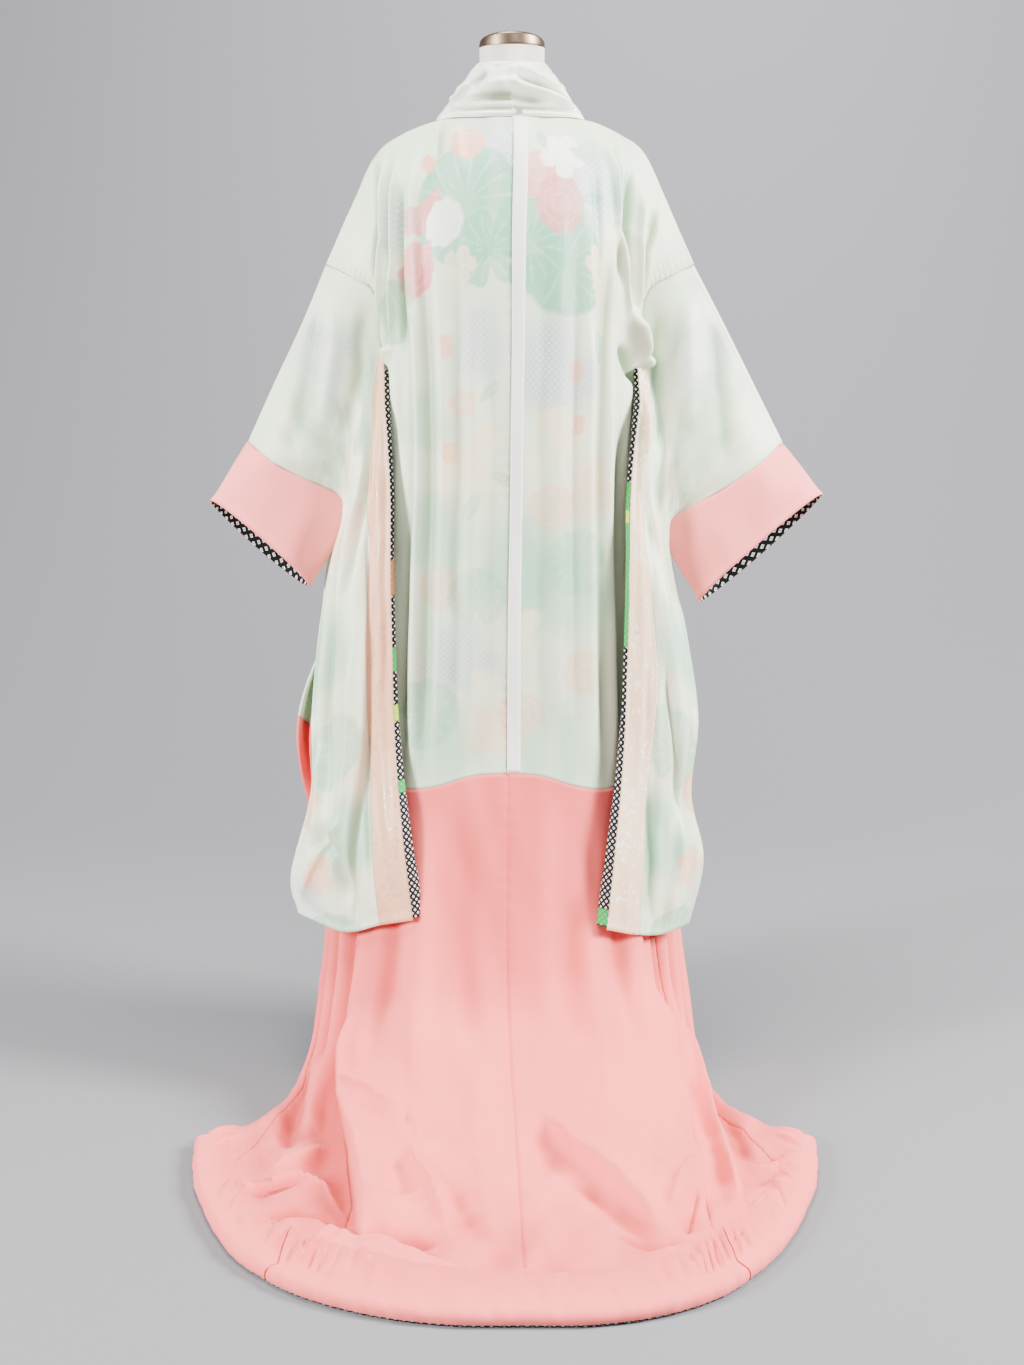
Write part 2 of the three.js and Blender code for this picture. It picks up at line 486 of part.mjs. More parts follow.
function addSleeve(sideName) {
  const side = sideName === 'left' ? -1 : 1;
  for (const [layerName, layer] of [['back', 1], ['front', -1]]) {
    const point = (u, v) => sleevePoint(sideName, layer, u, v);
    const outward = side * layer;
    const facingEnd = (v) => FACING_WIDTH * Math.min(Math.max((v - 2) / 1.2, 0.12), 1);
    const range = [(v) => (v < 2 ? 0 : facingEnd(v) + 0.008), 3, 0, 9];
    const lining = sheetGeometry(point, range, [8, 18], -HALF_CLOTH, HALF_CLOTH, outward);
    addMesh(`sleeve_${layerName}_${sideName}`, lining, COLORS.mint, 0.5, 0);
    const facing = sheetGeometry(point, [0, facingEnd, 2, 9], [2, 14], -HALF_CLOTH, HALF_CLOTH, outward);
    addMesh(`sleeve_facing_${layerName}_${sideName}`, facing, COLORS.cream, 0.45, 0);
  }
  // The face cloth turned over the back layer's open edge: a strip that leans in and forward.
  const edge = (u, v) => {
    const width = 12 + 10 * Math.min(Math.max((v - 6.5) / 2, 0), 1);
    const lean = new THREE.Vector3(-side * 0.7, 0.7, 0);
    return sleevePoint(sideName, 1, 0, v).addScaledVector(lean, 1.6 + u * width);
  };
  const strip = sheetGeometry(edge, [0, 1, 3, 8.5], [1, 11], -TRIM / 2, TRIM / 2, side);
  addMesh(`sleeve_face_edge_${sideName}`, strip, COLORS.face, 0.7, 0);
}

addForm();
for (const sideName of ['left', 'right']) {
  addBody(sideName);
  addSleeve(sideName);
  addCuff(sideName);
}
addSeamStrip();
addCollar();
for (const [sideName, side] of [['left', -1], ['right', 1]]) {
  addHemRoll(`hem_roll_back_${sideName}`, side, BACK, 0.004, 6, 9);
  addHemRoll(`hem_roll_front_${sideName}`, side, FRONT, 0.06, 5, 10);
}
addSnap();

export default group;
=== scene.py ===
import logging
import math
from dataclasses import dataclass, field
from enum import Enum
from typing import Callable, Optional, Sequence

import bmesh
import bpy
import numpy as np
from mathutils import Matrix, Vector


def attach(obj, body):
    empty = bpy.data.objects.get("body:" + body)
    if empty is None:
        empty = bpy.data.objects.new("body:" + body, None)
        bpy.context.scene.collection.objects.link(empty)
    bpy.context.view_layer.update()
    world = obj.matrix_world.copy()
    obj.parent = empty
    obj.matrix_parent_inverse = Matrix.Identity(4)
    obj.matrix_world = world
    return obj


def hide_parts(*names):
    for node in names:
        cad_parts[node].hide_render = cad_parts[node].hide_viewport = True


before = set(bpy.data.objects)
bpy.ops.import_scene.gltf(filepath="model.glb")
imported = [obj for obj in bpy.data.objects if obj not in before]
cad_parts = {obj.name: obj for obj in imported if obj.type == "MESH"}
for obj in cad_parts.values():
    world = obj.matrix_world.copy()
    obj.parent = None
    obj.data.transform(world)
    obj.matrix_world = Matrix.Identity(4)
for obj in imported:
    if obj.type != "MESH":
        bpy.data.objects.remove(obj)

# A bridal furisode turned inside out on a limbless dress form, seen from the back.
# Lengths in the tables are millimetres; meshes are in metres. "back" is the distance towards
# the viewer of the garment's back, which is -Y. One table row is one section of the garment.

Array = np.ndarray
Socket = bpy.types.NodeSocket
Material = bpy.types.Material
Piece = bpy.types.Object
Triple = tuple[float, float, float]

LOG = logging.getLogger("furisode")
MM = 0.001
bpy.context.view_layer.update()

# Back half of the body, from the centre-back seam to the side seam: (out, back, up).
BACK = np.array([
    [[0, 74, 1409], [54, 58, 1409], [106, 22, 1409], [157, 8, 1391],
     [194, 2, 1363], [234, 2, 1284], [270, 3, 1207]],
    [[0, 110, 1343], [54, 106, 1341], [106, 90, 1333], [152, 62, 1315],
     [186, 40, 1287], [213, 27, 1240], [232, 20, 1188]],
    [[0, 129, 1240], [51, 129, 1238], [99, 121, 1230], [142, 100, 1216],
     [171, 73, 1201], [189, 47, 1185], [199, 27, 1166]],
    [[0, 134, 1130], [48, 134, 1129], [93, 127, 1125], [132, 108, 1119],
     [157, 78, 1111], [176, 50, 1101], [189, 25, 1090]],
    [[0, 136, 1010], [46, 136, 1010], [90, 130, 1010], [128, 112, 1012],
     [152, 82, 1015], [172, 52, 1020], [184, 24, 1026]],
    [[0, 139, 860], [46, 139, 860], [90, 133, 860], [128, 115, 862],
     [152, 85, 865], [173, 52, 870], [186, 20, 875]],
    [[0, 147, 680], [48, 147, 680], [94, 141, 680], [134, 124, 680],
     [159, 94, 682], [182, 58, 685], [196, 22, 690]],
    [[0, 165, 478], [50, 165, 474], [98, 159, 458], [140, 143, 449],
     [171, 116, 451], [193, 81, 460], [207, 42, 470]],
    [[0, 245, 240], [48, 244, 238], [94, 236, 236], [136, 219, 234],
     [171, 192, 235], [196, 160, 238], [213, 124, 242]],
    [[0, 355, 120], [49, 354, 119], [96, 345, 117], [139, 327, 115],
     [176, 300, 115], [205, 266, 117], [226, 228, 120]],
    [[0, 500, 48], [50, 499, 48], [98, 490, 47], [142, 472, 46], [180, 446, 46],
     [212, 412, 47], [238, 372, 48]],
    [[0, 680, 26], [52, 679, 26], [101, 670, 26], [147, 652, 26],
     [189, 625, 26], [225, 590, 26], [254, 548, 26]],
    [[0, 872, 13], [66, 872, 13], [124, 862, 13], [174, 844, 13],
     [214, 822, 13], [245, 799, 13], [271, 772, 13]],
], float)

# Front half, from the armhole edge or side seam to the front edge: (out, back, up).
FRONT = np.array([
    [[270, -2, 1207], [234, -3, 1284], [194, -3, 1363], [157, 2, 1391], [131, 8, 1401], [106, 15, 1409]],
    [[234, -16, 1188], [215, -34, 1240], [184, -56, 1300], [150, -66, 1330],
     [118, -66, 1342], [90, -62, 1350]],
    [[199, -20, 1166], [188, -52, 1190], [166, -84, 1210], [140, -106, 1225],
     [112, -118, 1235], [82, -122, 1242]],
    [[189, -12, 1090], [180, -50, 1100], [163, -84, 1110], [140, -110, 1118],
     [114, -126, 1124], [86, -134, 1130]],
    [[184, 21, 1026], [182, -26, 1022], [172, -68, 1022], [153, -104, 1028],
     [128, -126, 1036], [98, -138, 1044]],
    [[187, 17, 875], [196, -22, 880], [197, -63, 890], [184, -99, 905], [161, -125, 925], [131, -141, 945]],
    [[197, 19, 690], [215, -15, 700], [229, -53, 715], [234, -85, 735], [225, -107, 760], [208, -119, 790]],
    [[208, 39, 470], [235, 14, 476], [262, -10, 486], [285, -28, 498], [304, -36, 512], [322, -34, 527]],
    [[214, 121, 242], [237, 90, 244], [254, 56, 248], [264, 20, 256], [269, -16, 266], [272, -50, 280]],
    [[228, 225, 120], [248, 190, 116], [262, 154, 112], [271, 116, 110], [276, 78, 112], [279, 38, 118]],
    [[240, 369, 48], [266, 332, 44], [285, 294, 41], [296, 255, 37], [297, 214, 35], [291, 172, 35]],
    [[256, 545, 26], [290, 502, 25], [316, 454, 24], [335, 404, 22], [341, 354, 20], [331, 302, 18]],
    [[273, 769, 13], [309, 722, 13], [345, 650, 13], [384, 540, 13], [400, 460, 13], [409, 381, 13]],
], float)

# How far each section stands off the middle plane, at the centre seam and at the front edge.
DRIFT = np.array([[2, -4], [2, -3], [0, -3], [0, -2], [-1, -2], [-3, -5], [-6, -8], [-7, -10], [-7, -13],
                  [-3, -13], [5, -12], [11, -10], [17, -9]], float)
RIGHT_TUCK = np.array([[0], [0], [0], [0], [0], [0], [16], [44], [8], [0], [0], [0], [0]], float)

# Sleeves, from the body side to the outer edge: (out, up), then for both (back, half gap
# between the layers).
SLEEVE_LEFT = np.array([
    [[273.6, 1206], [309, 1122], [350, 1036], [389, 951]], [[216, 1170], [262, 1087], [306, 998], [346, 920]],
    [[196, 1090], [216, 1010], [244, 937], [264, 872]], [[184, 985], [204, 930], [230, 880], [252, 832]],
    [[177, 880], [207, 835], [244, 790], [274, 745]], [[176, 785], [211, 742], [250, 700], [289, 662]],
    [[174, 645], [212, 604], [255, 568], [300, 545]], [[170, 510], [211, 476], [258, 446], [303, 428]],
    [[158, 392], [205, 362], [262, 332], [333, 306]], [[143, 276], [192, 258], [250, 236], [320, 252]],
], float)
SLEEVE_RIGHT = np.array([
    [[267.3, 1206], [313, 1119], [356, 1034], [399, 949]], [[224, 1160], [266, 1082], [306, 994], [345, 906]],
    [[199, 1088], [216, 1008], [238, 926], [250, 840]], [[184, 990], [202, 932], [220, 868], [234, 800]],
    [[172, 885], [194, 832], [220, 780], [245, 735]], [[170, 785], [196, 742], [228, 698], [262, 660]],
    [[168, 645], [198, 604], [236, 564], [279, 540]], [[163, 505], [194, 466], [232, 436], [270, 425]],
    [[150, 378], [186, 350], [232, 330], [288, 330]], [[137, 262], [178, 244], [222, 232], [266, 236]],
], float)
SLEEVE_DEPTH = np.array([
    [[1, 1.5], [12, 1.5], [24, 1.5], [36, 1.5]], [[3, 18], [14, 24], [28, 27], [42, 25]],
    [[10, 17], [24, 26], [38, 24], [48, 4]], [[45, 25], [44, 30], [46, 24], [50, 3]],
    [[58, 40], [56, 38], [54, 28], [52, 2]], [[74, 44], [66, 42], [60, 30], [56, 2]],
    [[86, 46], [76, 42], [68, 32], [62, 2]], [[106, 44], [92, 38], [80, 30], [70, 2]],
    [[179, 16], [150, 18], [112, 20], [88, 2]], [[226, 1.5], [190, 1.5], [152, 1.5], [112, 1.5]],
], float)
SLEEVE_STRADDLE = np.array([[0], [0], [0], [14], [24], [30], [40], [40], [10], [0]], float)
CUFF_ROW = 2.0
SLEEVE_END = 9.0
SLEEVE_EDGE = 3.0
EDGE_ROUND = 14.0          # how far in from a closed edge the bag's gap rounds off, mm
COLUMN_MM = 60.0           # rough distance between the sleeve table's columns
TOP_MM = 110.0             # and between its rows near the top
ROW_MM = 105.0             # and further down

PINK_ROW = 7.0
HEM_ROW = 12.0
SIDE_SEAM = 6.0
JUST_IN_FRONT = SIDE_SEAM + 0.001
OVERLAP_SEAM = 9.0
FRONT_EDGE = 11.0
HEM_RADIUS = 11.0
WALL = 1.8                 # one garment wall, face cloth and lining together


class Labelled(Enum):
    """A choice that is named in the names of nodes."""

    @property
    def label(self) -> str:
        """The choice's part of a node's name."""
        return self.name.lower()


class Side(Labelled):
    """Which side of the garment, as its sign along X."""
    LEFT = -1
    RIGHT = 1


class Layer(Labelled):
    """Layer of a sleeve bag, as its sign towards the viewer of the back."""
    BACK = 1
    FRONT = -1


# ---- Surfaces through tables ----


def spline_weights(share: Array) -> Array:
    """Catmull-Rom weights of four neighbouring values: cubic polynomials of the share of the way.

    Args:
        share: place between the second and the third value, 0 to 1.

    Returns:
        The four weights, along a new last axis.
    """
    s2 = share * share
    s3 = s2 * share
    return np.stack([(-s3 + 2 * s2 - share) / 2, (3 * s3 - 5 * s2 + 2) / 2,
                     (-3 * s3 + 4 * s2 + share) / 2, (s3 - s2) / 2], axis=-1)


def extended(table: Array, axis: int) -> Array:
    """The table with one more entry at each end of an axis, in a straight line.

    Args:
        table: entries by row and column.
        axis: the axis to lengthen.

    Returns:
        The longer table.
    """
    rows = np.moveaxis(table, axis, 0)
    rows = np.concatenate([2 * rows[:1] - rows[1:2], rows, 2 * rows[-1:] - rows[-2:-1]])
    return np.moveaxis(rows, 0, axis)


def surface_at(table: Array, across: Array, down: Array) -> Array:
    """Bicubic surface through a table: the sixteen nearest entries weighted along both axes.

    Args:
        table: entries by row and column, with the values along the last axis.
        across: fractional column of each wanted point.
        down: fractional row of each wanted point.

    Returns:
        The values at the points, in the shape of across and down.
    """
    across, down = np.broadcast_arrays(np.asarray(across, float), np.asarray(down, float))
    padded = extended(extended(table, 0), 1)
    column = np.clip(np.floor(across).astype(int), 0, table.shape[1] - 2)
    row = np.clip(np.floor(down).astype(int), 0, table.shape[0] - 2)
    along_columns = spline_weights(across - column)
    along_rows = spline_weights(down - row)
    total = np.zeros(across.shape + table.shape[2:])
    for i in range(4):
        for j in range(4):
            weight = along_rows[..., i] * along_columns[..., j]
            total += weight[..., None] * padded[row + i, column + j]
    return total


def line_at(table: Array, place: Array) -> Array:
    """Cubic spline through a table's rows at fractional places."""
    return surface_at(np.repeat(table[:, None, :], 2, axis=1), np.zeros_like(place), place)


def bump(distance: Array) -> Array:
    """Bell curve of a distance: e to the minus square."""
    return np.exp(-np.square(distance))


def smooth(value: Array, low: float, high: float) -> Array:
    """Smooth step from 0 at low to 1 at high: 3s squared minus 2s cubed."""
    share = np.clip((value - low) / (high - low), 0, 1)
    return share * share * (3 - 2 * share)


def body_point(across: Array, down: Array) -> Array:
    """Point of the body surface, in millimetres.

    The back table gives it up to the side seam and the front table beyond. Then it stands off
    the middle plane by a blend of the section's two drifts, and on the right the front is drawn
    in.

    Args:
        across: 0 at the centre-back seam, 6 at the side seam, 11 at the front edge; left negative.
        down: section, 0 at the shoulder to 12 at the hem.

    Returns:
        Points as X, Y, Z.
    """
    signed, down = np.broadcast_arrays(np.asarray(across, float), np.asarray(down, float))
    sign = np.where(signed < 0, -1.0, 1.0)
    far = np.abs(signed)
    column = far - SIDE_SEAM
    in_front = (column > 0)[..., None]
    tabled = np.where(in_front, surface_at(FRONT, column, down), surface_at(BACK, far, down))
    out, back, up = np.moveaxis(tabled, -1, 0)
    centre, edge = np.moveaxis(line_at(DRIFT, down), -1, 0)
    drift = centre + (edge - centre) * np.minimum(far / FRONT_EDGE * 1.6, 1)
    tuck = line_at(RIGHT_TUCK, down)[..., 0] * np.maximum(column, 0) / 5 * (sign > 0)
    return np.stack([sign * out + drift - tuck, -back, up], axis=-1)


def normals_of(locate: Callable, across: Array, down: Array, outward: int) -> Array:
    """Unit normals of a surface: the cross product of two wide central differences.

    Args:
        locate: function from places to points.
        across: places across.
        down: places down.
        outward: +1 where across x down points out, -1 where it points in.

    Returns:
        Normals in the shape of the points.
    """
    step = 0.12
    along_across = locate(across + step, down) - locate(across - step, down)
    along_down = locate(across, down + step) - locate(across, down - step)
    normal = outward * np.cross(along_across, along_down)
    return normal / np.maximum(np.linalg.norm(normal, axis=-1, keepdims=True), 1e-9)


def sleeve_point(side: Side, layer: Layer, across: Array, down: Array) -> Array:
    """Point of a sleeve layer, in millimetres.

    The table's middle surface is moved half the gap to the layer's side; at the closed edges the
    gap rounds off to nothing, like a circle. Above row 2 the body edge is drawn onto the armhole
    by an offset that fades with the square of the way across.

    Args:
        side: side of the garment.
        layer: layer of the bag.
        across: 0 at the body side to 3 at the outer edge.
        down: 0 at the top fold to 9 at the bottom.

    Returns:
        Points as X, Y, Z.
    """
    across, down = np.broadcast_arrays(np.asarray(across, float), np.asarray(down, float))
    places = SLEEVE_LEFT if side is Side.LEFT else SLEEVE_RIGHT
    table = np.concatenate([places, SLEEVE_DEPTH], axis=-1)

    def place(column: Array, row: Array) -> Array:
        out, up, back, half = np.moveaxis(surface_at(table, column, row), -1, 0)
        beyond = np.maximum(CUFF_ROW - row, 0) * TOP_MM
        from_ends = np.minimum(row * TOP_MM, (SLEEVE_END - row) * ROW_MM)
        inwards = np.minimum(np.hypot((SLEEVE_EDGE - column) * COLUMN_MM, beyond), from_ends)
        inwards = np.clip(inwards / EDGE_ROUND, 0, 1)
        gap = WALL + np.maximum(half * smooth(half, 1.0, 6.0) - WALL, 0) * np.sqrt(1 - (1 - inwards) ** 2)
        straddle = line_at(SLEEVE_STRADDLE, row)[..., 0] * (1 - column / SLEEVE_EDGE)
        shift = straddle if layer is Layer.FRONT else 0.0 * straddle
        return np.stack([side.value * (out + shift), -(back + layer.value * gap), up], axis=-1)

    point = place(across, down)
    row = np.clip(down, 0, CUFF_ROW)
    seam = SIDE_SEAM if layer is Layer.BACK else JUST_IN_FRONT
    armhole = body_point(np.full_like(row, side.value * seam), 1.5 * row)
    pull = np.maximum(1 - across, 0) ** 2 * np.clip((2.8 - down) / 0.6, 0, 1)
    return point + (armhole - place(np.zeros_like(row), row)) * pull[..., None]


# ---- Folds ----


@dataclass(frozen=True)
class Fold:
    """A fold line on a surface: places, half width and height in mm, sharp or rounded.

    With a raised direction it is a step: the cloth on that side of the line stands up by the
    height and sinks back over the reach.
    """
    path: tuple[tuple[float, float], ...]
    width: float
    height: float
    sharp: bool = False
    raised: Triple = (0.0, 0.0, 0.0)
    reach: float = 70.0


def fold_height(points: Array, line: Array, fold: Fold) -> Array:
    """Height that a fold adds at points: a bell, a peak or a step of the distance to a line.

    Args:
        points: (N, 3) points of the surface, in millimetres.
        line: (M, 3) corners of the fold's line.
        fold: the fold's width and height.

    Returns:
        (N,) heights; they fade over the ends of the line.
    """
    best = np.full(len(points), np.inf)
    travel = np.zeros(len(points))
    side = np.zeros(len(points))
    raised = np.array(fold.raised)
    lengths = np.linalg.norm(np.diff(line, axis=0), axis=1)
    total = lengths.sum()
    gone = 0.0
    for start, end, length in zip(line[:-1], line[1:], lengths):
        step = (end - start) / max(length, 1e-6)
        share = np.clip((points - start) @ step, 0, length)
        away = points - start - share[:, None] * step
        gap = np.linalg.norm(away, axis=1)
        near = gap < best
        best = np.where(near, gap, best)
        side = np.where(near, away @ (raised - (raised @ step) * step), side)
        travel = np.where(near, gone + share, travel)
        gone += length
    place = travel / total
    fade = smooth(place, -0.04, 0.24) * smooth(1 - place, -0.04, 0.2)
    ratio = best / fold.width
    if raised.any():
        signed = np.sign(side) * ratio
        shape = smooth(signed, -1, 1) * np.exp(-np.maximum(signed, 0) * fold.width / fold.reach)
    elif fold.sharp:
        shape = np.exp(-ratio * 1.3)
    else:
        shape = bump(ratio)
    return fold.height * fade * shape


def dense_line(places: Sequence[tuple[float, float]], locate: Callable) -> Array:
    """A fold's line in space: its places joined in eight steps each and put on the surface.

    Args:
        places: corners as (across, down).
        locate: function from a place to a point.

    Returns:
        (M, 3) points.
    """
    corners = np.array(places, float)
    steps = np.linspace(0, len(corners) - 1, 8 * (len(corners) - 1) + 1)
    across = np.interp(steps, np.arange(len(corners)), corners[:, 0])
    down = np.interp(steps, np.arange(len(corners)), corners[:, 1])
    return np.array([locate(a, d) for a, d in zip(across, down)])


def ripple(across: Array, down: Array, seed: int, grain: tuple[float, float],
           height: float, waves: int = 9) -> Array:
    """Fine uneven wrinkles: a sum of sine waves of seeded directions, lengths and phases.

    Args:
        across: millimetres across the cloth.
        down: millimetres down the cloth.
        seed: seed of the random draws.
        grain: usual wavelength across and down, in millimetres.
        height: overall height in millimetres.
        waves: number of sine waves.

    Returns:
        Heights in the shape of across.
    """
    random = np.random.default_rng(seed)
    total = np.zeros_like(across)
    for _ in range(waves):
        length = random.uniform(0.6, 1.7, 2) * grain
        phase = random.uniform(0, 2 * np.pi, 2)
        bend = random.uniform(0.3, 1.1) * np.sin(2 * np.pi * down / (length[1] * 2.3) + phase[1])
        turns = across / length[0] + random.uniform(-1, 1) * down / length[1]
        total += np.sin(2 * np.pi * turns + phase[0] + bend)
    return height * total / math.sqrt(waves)


def hollowness(height: Array, low: float, high: float) -> Array:
    """How deep a place lies in the folds: 1 below the low height, 0 above the high one."""
    return 1 - smooth(height, low, high)


def paint_hollow_shade(tint: Array, height: Array) -> None:
    """Paints shade on mint silk: darkens its colours in the hollows between its folds."""
    tint[..., :3] *= 1 - hollowness(height, -9, 3)[..., None] * HOLLOW_SHADE


def travelled(points: Array) -> Array:
    """Length of a line of points up to each of them, from 0."""
    return np.concatenate([[0], np.cumsum(np.linalg.norm(np.diff(points, axis=0), axis=1))])


def cloth_lengths(points: Array) -> tuple[Array, Array]:
    """Lengths of cloth over a grid of points, summed along its rows and down its columns' mean.

    Args:
        points: (rows, columns, 3) points in millimetres.

    Returns:
        Millimetres across and down at each point.
    """
    across = np.zeros(points.shape[:2])
    across[:, 1:] = np.cumsum(np.linalg.norm(np.diff(points, axis=1), axis=2), axis=1)
    down = np.zeros(points.shape[:2])
    steps = np.linalg.norm(np.diff(points, axis=0), axis=2).mean(axis=1)
    down[1:] = np.cumsum(steps)[:, None]
    return across, down


def grid_normals(points: Array, outward: int) -> Array:
    """Unit normals of a grid: the cross product of its two gradients, times outward.

    Args:
        points: (rows, columns, 3) points.
        outward: +1 where across x down points out, -1 where it points in.

    Returns:
        Normals in the shape of the points.
    """
    along_u = np.gradient(points, axis=1)
    along_v = np.gradient(points, axis=0)
    normal = np.cross(along_u, along_v)
    length = np.linalg.norm(normal, axis=2, keepdims=True)
    return outward * normal / np.maximum(length, 1e-9)


# ---- Finishes ----


def linear(code: int) -> Triple:
    """Linear RGB of a colour.

    Args:
        code: the colour written as 0xRRGGBB.

    Returns:
        Red, green and blue, 0 to 1.
    """
    parts = [((code >> shift) & 255) / 255 for shift in (16, 8, 0)]
    red, green, blue = (p / 12.92 if p <= 0.04045 else ((p + 0.055) / 1.055) ** 2.4 for p in parts)
    return red, green, blue


MINT = linear(0xDCE8CA)
PINK = linear(0xFF7672)
HOLLOW_SHADE = np.array([0.50, 0.40, 0.50])     # painted shade: how much darker the mint silk is painted in a hollow
DOT_HALF = 0.24            # half width of a tie-dyed dot, in pitches
DOT_HEART = 0.11           # reach of the dark heart in it


class Nodes:
    """Short way to lay out a material's nodes."""

    def __init__(self, name: str) -> None:
        """Starts an empty material with a Principled shader."""
        self.material = bpy.data.materials.new(name)
        self.material.use_nodes = True
        self.tree = self.material.node_tree
        self.shader = self.tree.nodes["Principled BSDF"]

    def add(self, kind: str, inputs: Optional[dict] = None, **settings: object) -> bpy.types.Node:
        """Adds a node.

        Args:
            kind: Blender's name of the node type, after "ShaderNode".
            inputs: values or output sockets, by input name or number.
            settings: attributes of the node.

        Returns:
            The node.
        """
        node = self.tree.nodes.new("ShaderNode" + kind)
        for key, value in settings.items():
            setattr(node, key, value)
        for key, value in (inputs or {}).items():
            self.feed(node.inputs[key], value)
        return node

    def feed(self, socket: Socket, value: object) -> None:
        """Links an output to a socket, or sets the socket's value."""
        if isinstance(value, Socket):
            self.tree.links.new(value, socket)
        else:
            socket.default_value = value

    def math(self, operation: str, first: object, second: object = 0.0) -> Socket:
        """Result of a Math node."""
        return self.add("Math", {0: first, 1: second}, operation=operation).outputs[0]

    def mix(self, share: object, first: object, second: object) -> Socket:
        """Mix of two colours.

        Args:
            share: how much of the second colour, a number or a socket.
            first: an RGB triple or a socket.
            second: an RGB triple or a socket.

        Returns:
            The mixed colour's socket.
        """
        node = self.add("Mix", data_type="RGBA")
        for index, value in ((0, share), (6, first), (7, second)):
            colour = (*value, 1.0) if isinstance(value, tuple) and len(value) == 3 else value
            self.feed(node.inputs[index], colour)
        return node.outputs[2]

    def set(self, **values: object) -> None:
        """Sets shader inputs; underscores in a name stand for spaces."""
        for key, value in values.items():
            self.feed(self.shader.inputs[key.replace("_", " ")], value)

    def coordinates(self, kind: str = "UV") -> Socket:
        """The piece's own UV map in metres, or Object coordinates."""
        return self.add("TexCoord").outputs[kind]

    def tint(self) -> bpy.types.bpy_prop_collection:
        """Outputs of the "tint" attribute of the cloth."""
        return self.add("Attribute", attribute_name="tint").outputs

    def noise(self, place: object, scale: float, detail: float = 3.0,
              rough: float = 0.5) -> Socket:
        """Value of a noise texture."""
        inputs = {"Vector": place, "Scale": scale, "Detail": detail, "Roughness": rough}
        return self.add("TexNoise", inputs).outputs[0]

    def streaks(self, place: object, across: float, down: float, detail: float) -> Socket:
        """Value of a noise stretched along the axes: how many grains a metre across and down."""
        return self.noise(self.stretched(place, (across, down, 1.0)), 1.0, detail)

    def stretched(self, place: object, scale: Triple) -> Socket:
        """A place scaled along each axis."""
        return self.add("Mapping", {"Vector": place, "Scale": scale}).outputs[0]

    def threads(self, place: object, pitch: float) -> Socket:
        """Height of a plain weave: the product of two sine waves a thread apart.

        Args:
            place: socket of the place in metres.
            pitch: distance between threads in metres.

        Returns:
            The height's socket, -1 to 1.
        """
        parts = self.add("SeparateXYZ", {0: place}).outputs
        turn = 2 * math.pi / pitch
        warp = self.math("SINE", self.math("MULTIPLY", parts[0], turn))
        weft = self.math("SINE", self.math("MULTIPLY", parts[1], turn))
        return self.math("MULTIPLY", warp, weft)

    def relief(self, height: object, depth: float) -> None:
        """Feeds a height to the shader's normal, over any relief that is there.

        Args:
            height: socket of the height.
            depth: metres for a height of 1.
        """
        inputs = {"Height": height, "Distance": depth, "Strength": 1.0}
        socket = self.shader.inputs["Normal"]
        if socket.is_linked:
            inputs["Normal"] = socket.links[0].from_socket
        self.feed(socket, self.add("Bump", inputs).outputs[0])

    def dots(self, place: object, pitch: float) -> Socket:
        """Tie-dyed dots: 1 in small squares on a slanted grid, 0 in their hearts and between them.

        Args:
            place: socket of the place in metres.
            pitch: distance between dots in metres.

        Returns:
            The mask's socket.
        """
        turned = self.add("Mapping", {"Vector": place, "Rotation": (0, 0, math.radians(45)),
                                                "Scale": (1 / pitch, 1 / pitch, 1)}).outputs[0]
        wobble = self.add("VectorMath", {0: turned, 1: (0.5, 0.5, 0.5)}, operation="ADD").outputs[0]
        cell = self.add("VectorMath", {0: wobble}, operation="FRACTION").outputs[0]
        parts = self.add("SeparateXYZ", {0: cell}).outputs
        reach = [self.math("ABSOLUTE", self.math("SUBTRACT", parts[k], 0.5)) for k in (0, 1)]
        edge = self.math("MAXIMUM", reach[0], reach[1])
        square = self.math("LESS_THAN", edge, DOT_HALF)
        heart = self.math("LESS_THAN", self.math("ADD", reach[0], reach[1]), DOT_HEART)
        return self.math("SUBTRACT", square, heart)


@dataclass(frozen=True)
class LiningSilk:
    """Smooth lining silk with a satin sheen; its colour comes from the cloth's "tint" attribute."""
    name: str = "mint_lining"
    roughness: float = 0.36
    sheen: float = 0.08
    pitch: float = 0.0062

    def make(self) -> Material:
        """Builds the material.

        Returns:
            The material.
        """
        nodes = Nodes(self.name)
        place = nodes.coordinates()
        attribute = nodes.tint()
        ghost = nodes.math("MULTIPLY", nodes.dots(place, self.pitch), attribute["Alpha"])
        tint = nodes.mix(nodes.math("MULTIPLY", ghost, 0.55), attribute["Color"], linear(0xFFFFFA))
        slub = nodes.streaks(place, 260.0, 14.0, 2.0)
        cloudy = nodes.noise(place, 9.0, 4.0)
        shade = nodes.math("ADD", nodes.math("MULTIPLY", cloudy, 0.6), nodes.math("MULTIPLY", slub, 0.4))
        colour = nodes.mix(nodes.math("MULTIPLY", shade, 0.10), tint, (0.93, 0.90, 0.84))
        nodes.set(Base_Color=colour, Roughness=self.roughness, Sheen_Weight=self.sheen, Sheen_Roughness=0.35,
                  Anisotropic=0.35, Specular_IOR_Level=0.55)
        nodes.relief(nodes.streaks(place, 70.0, 18.0, 3.0), 0.0010)
        nodes.relief(nodes.threads(place, 0.0006), 0.00003)
        return nodes.material


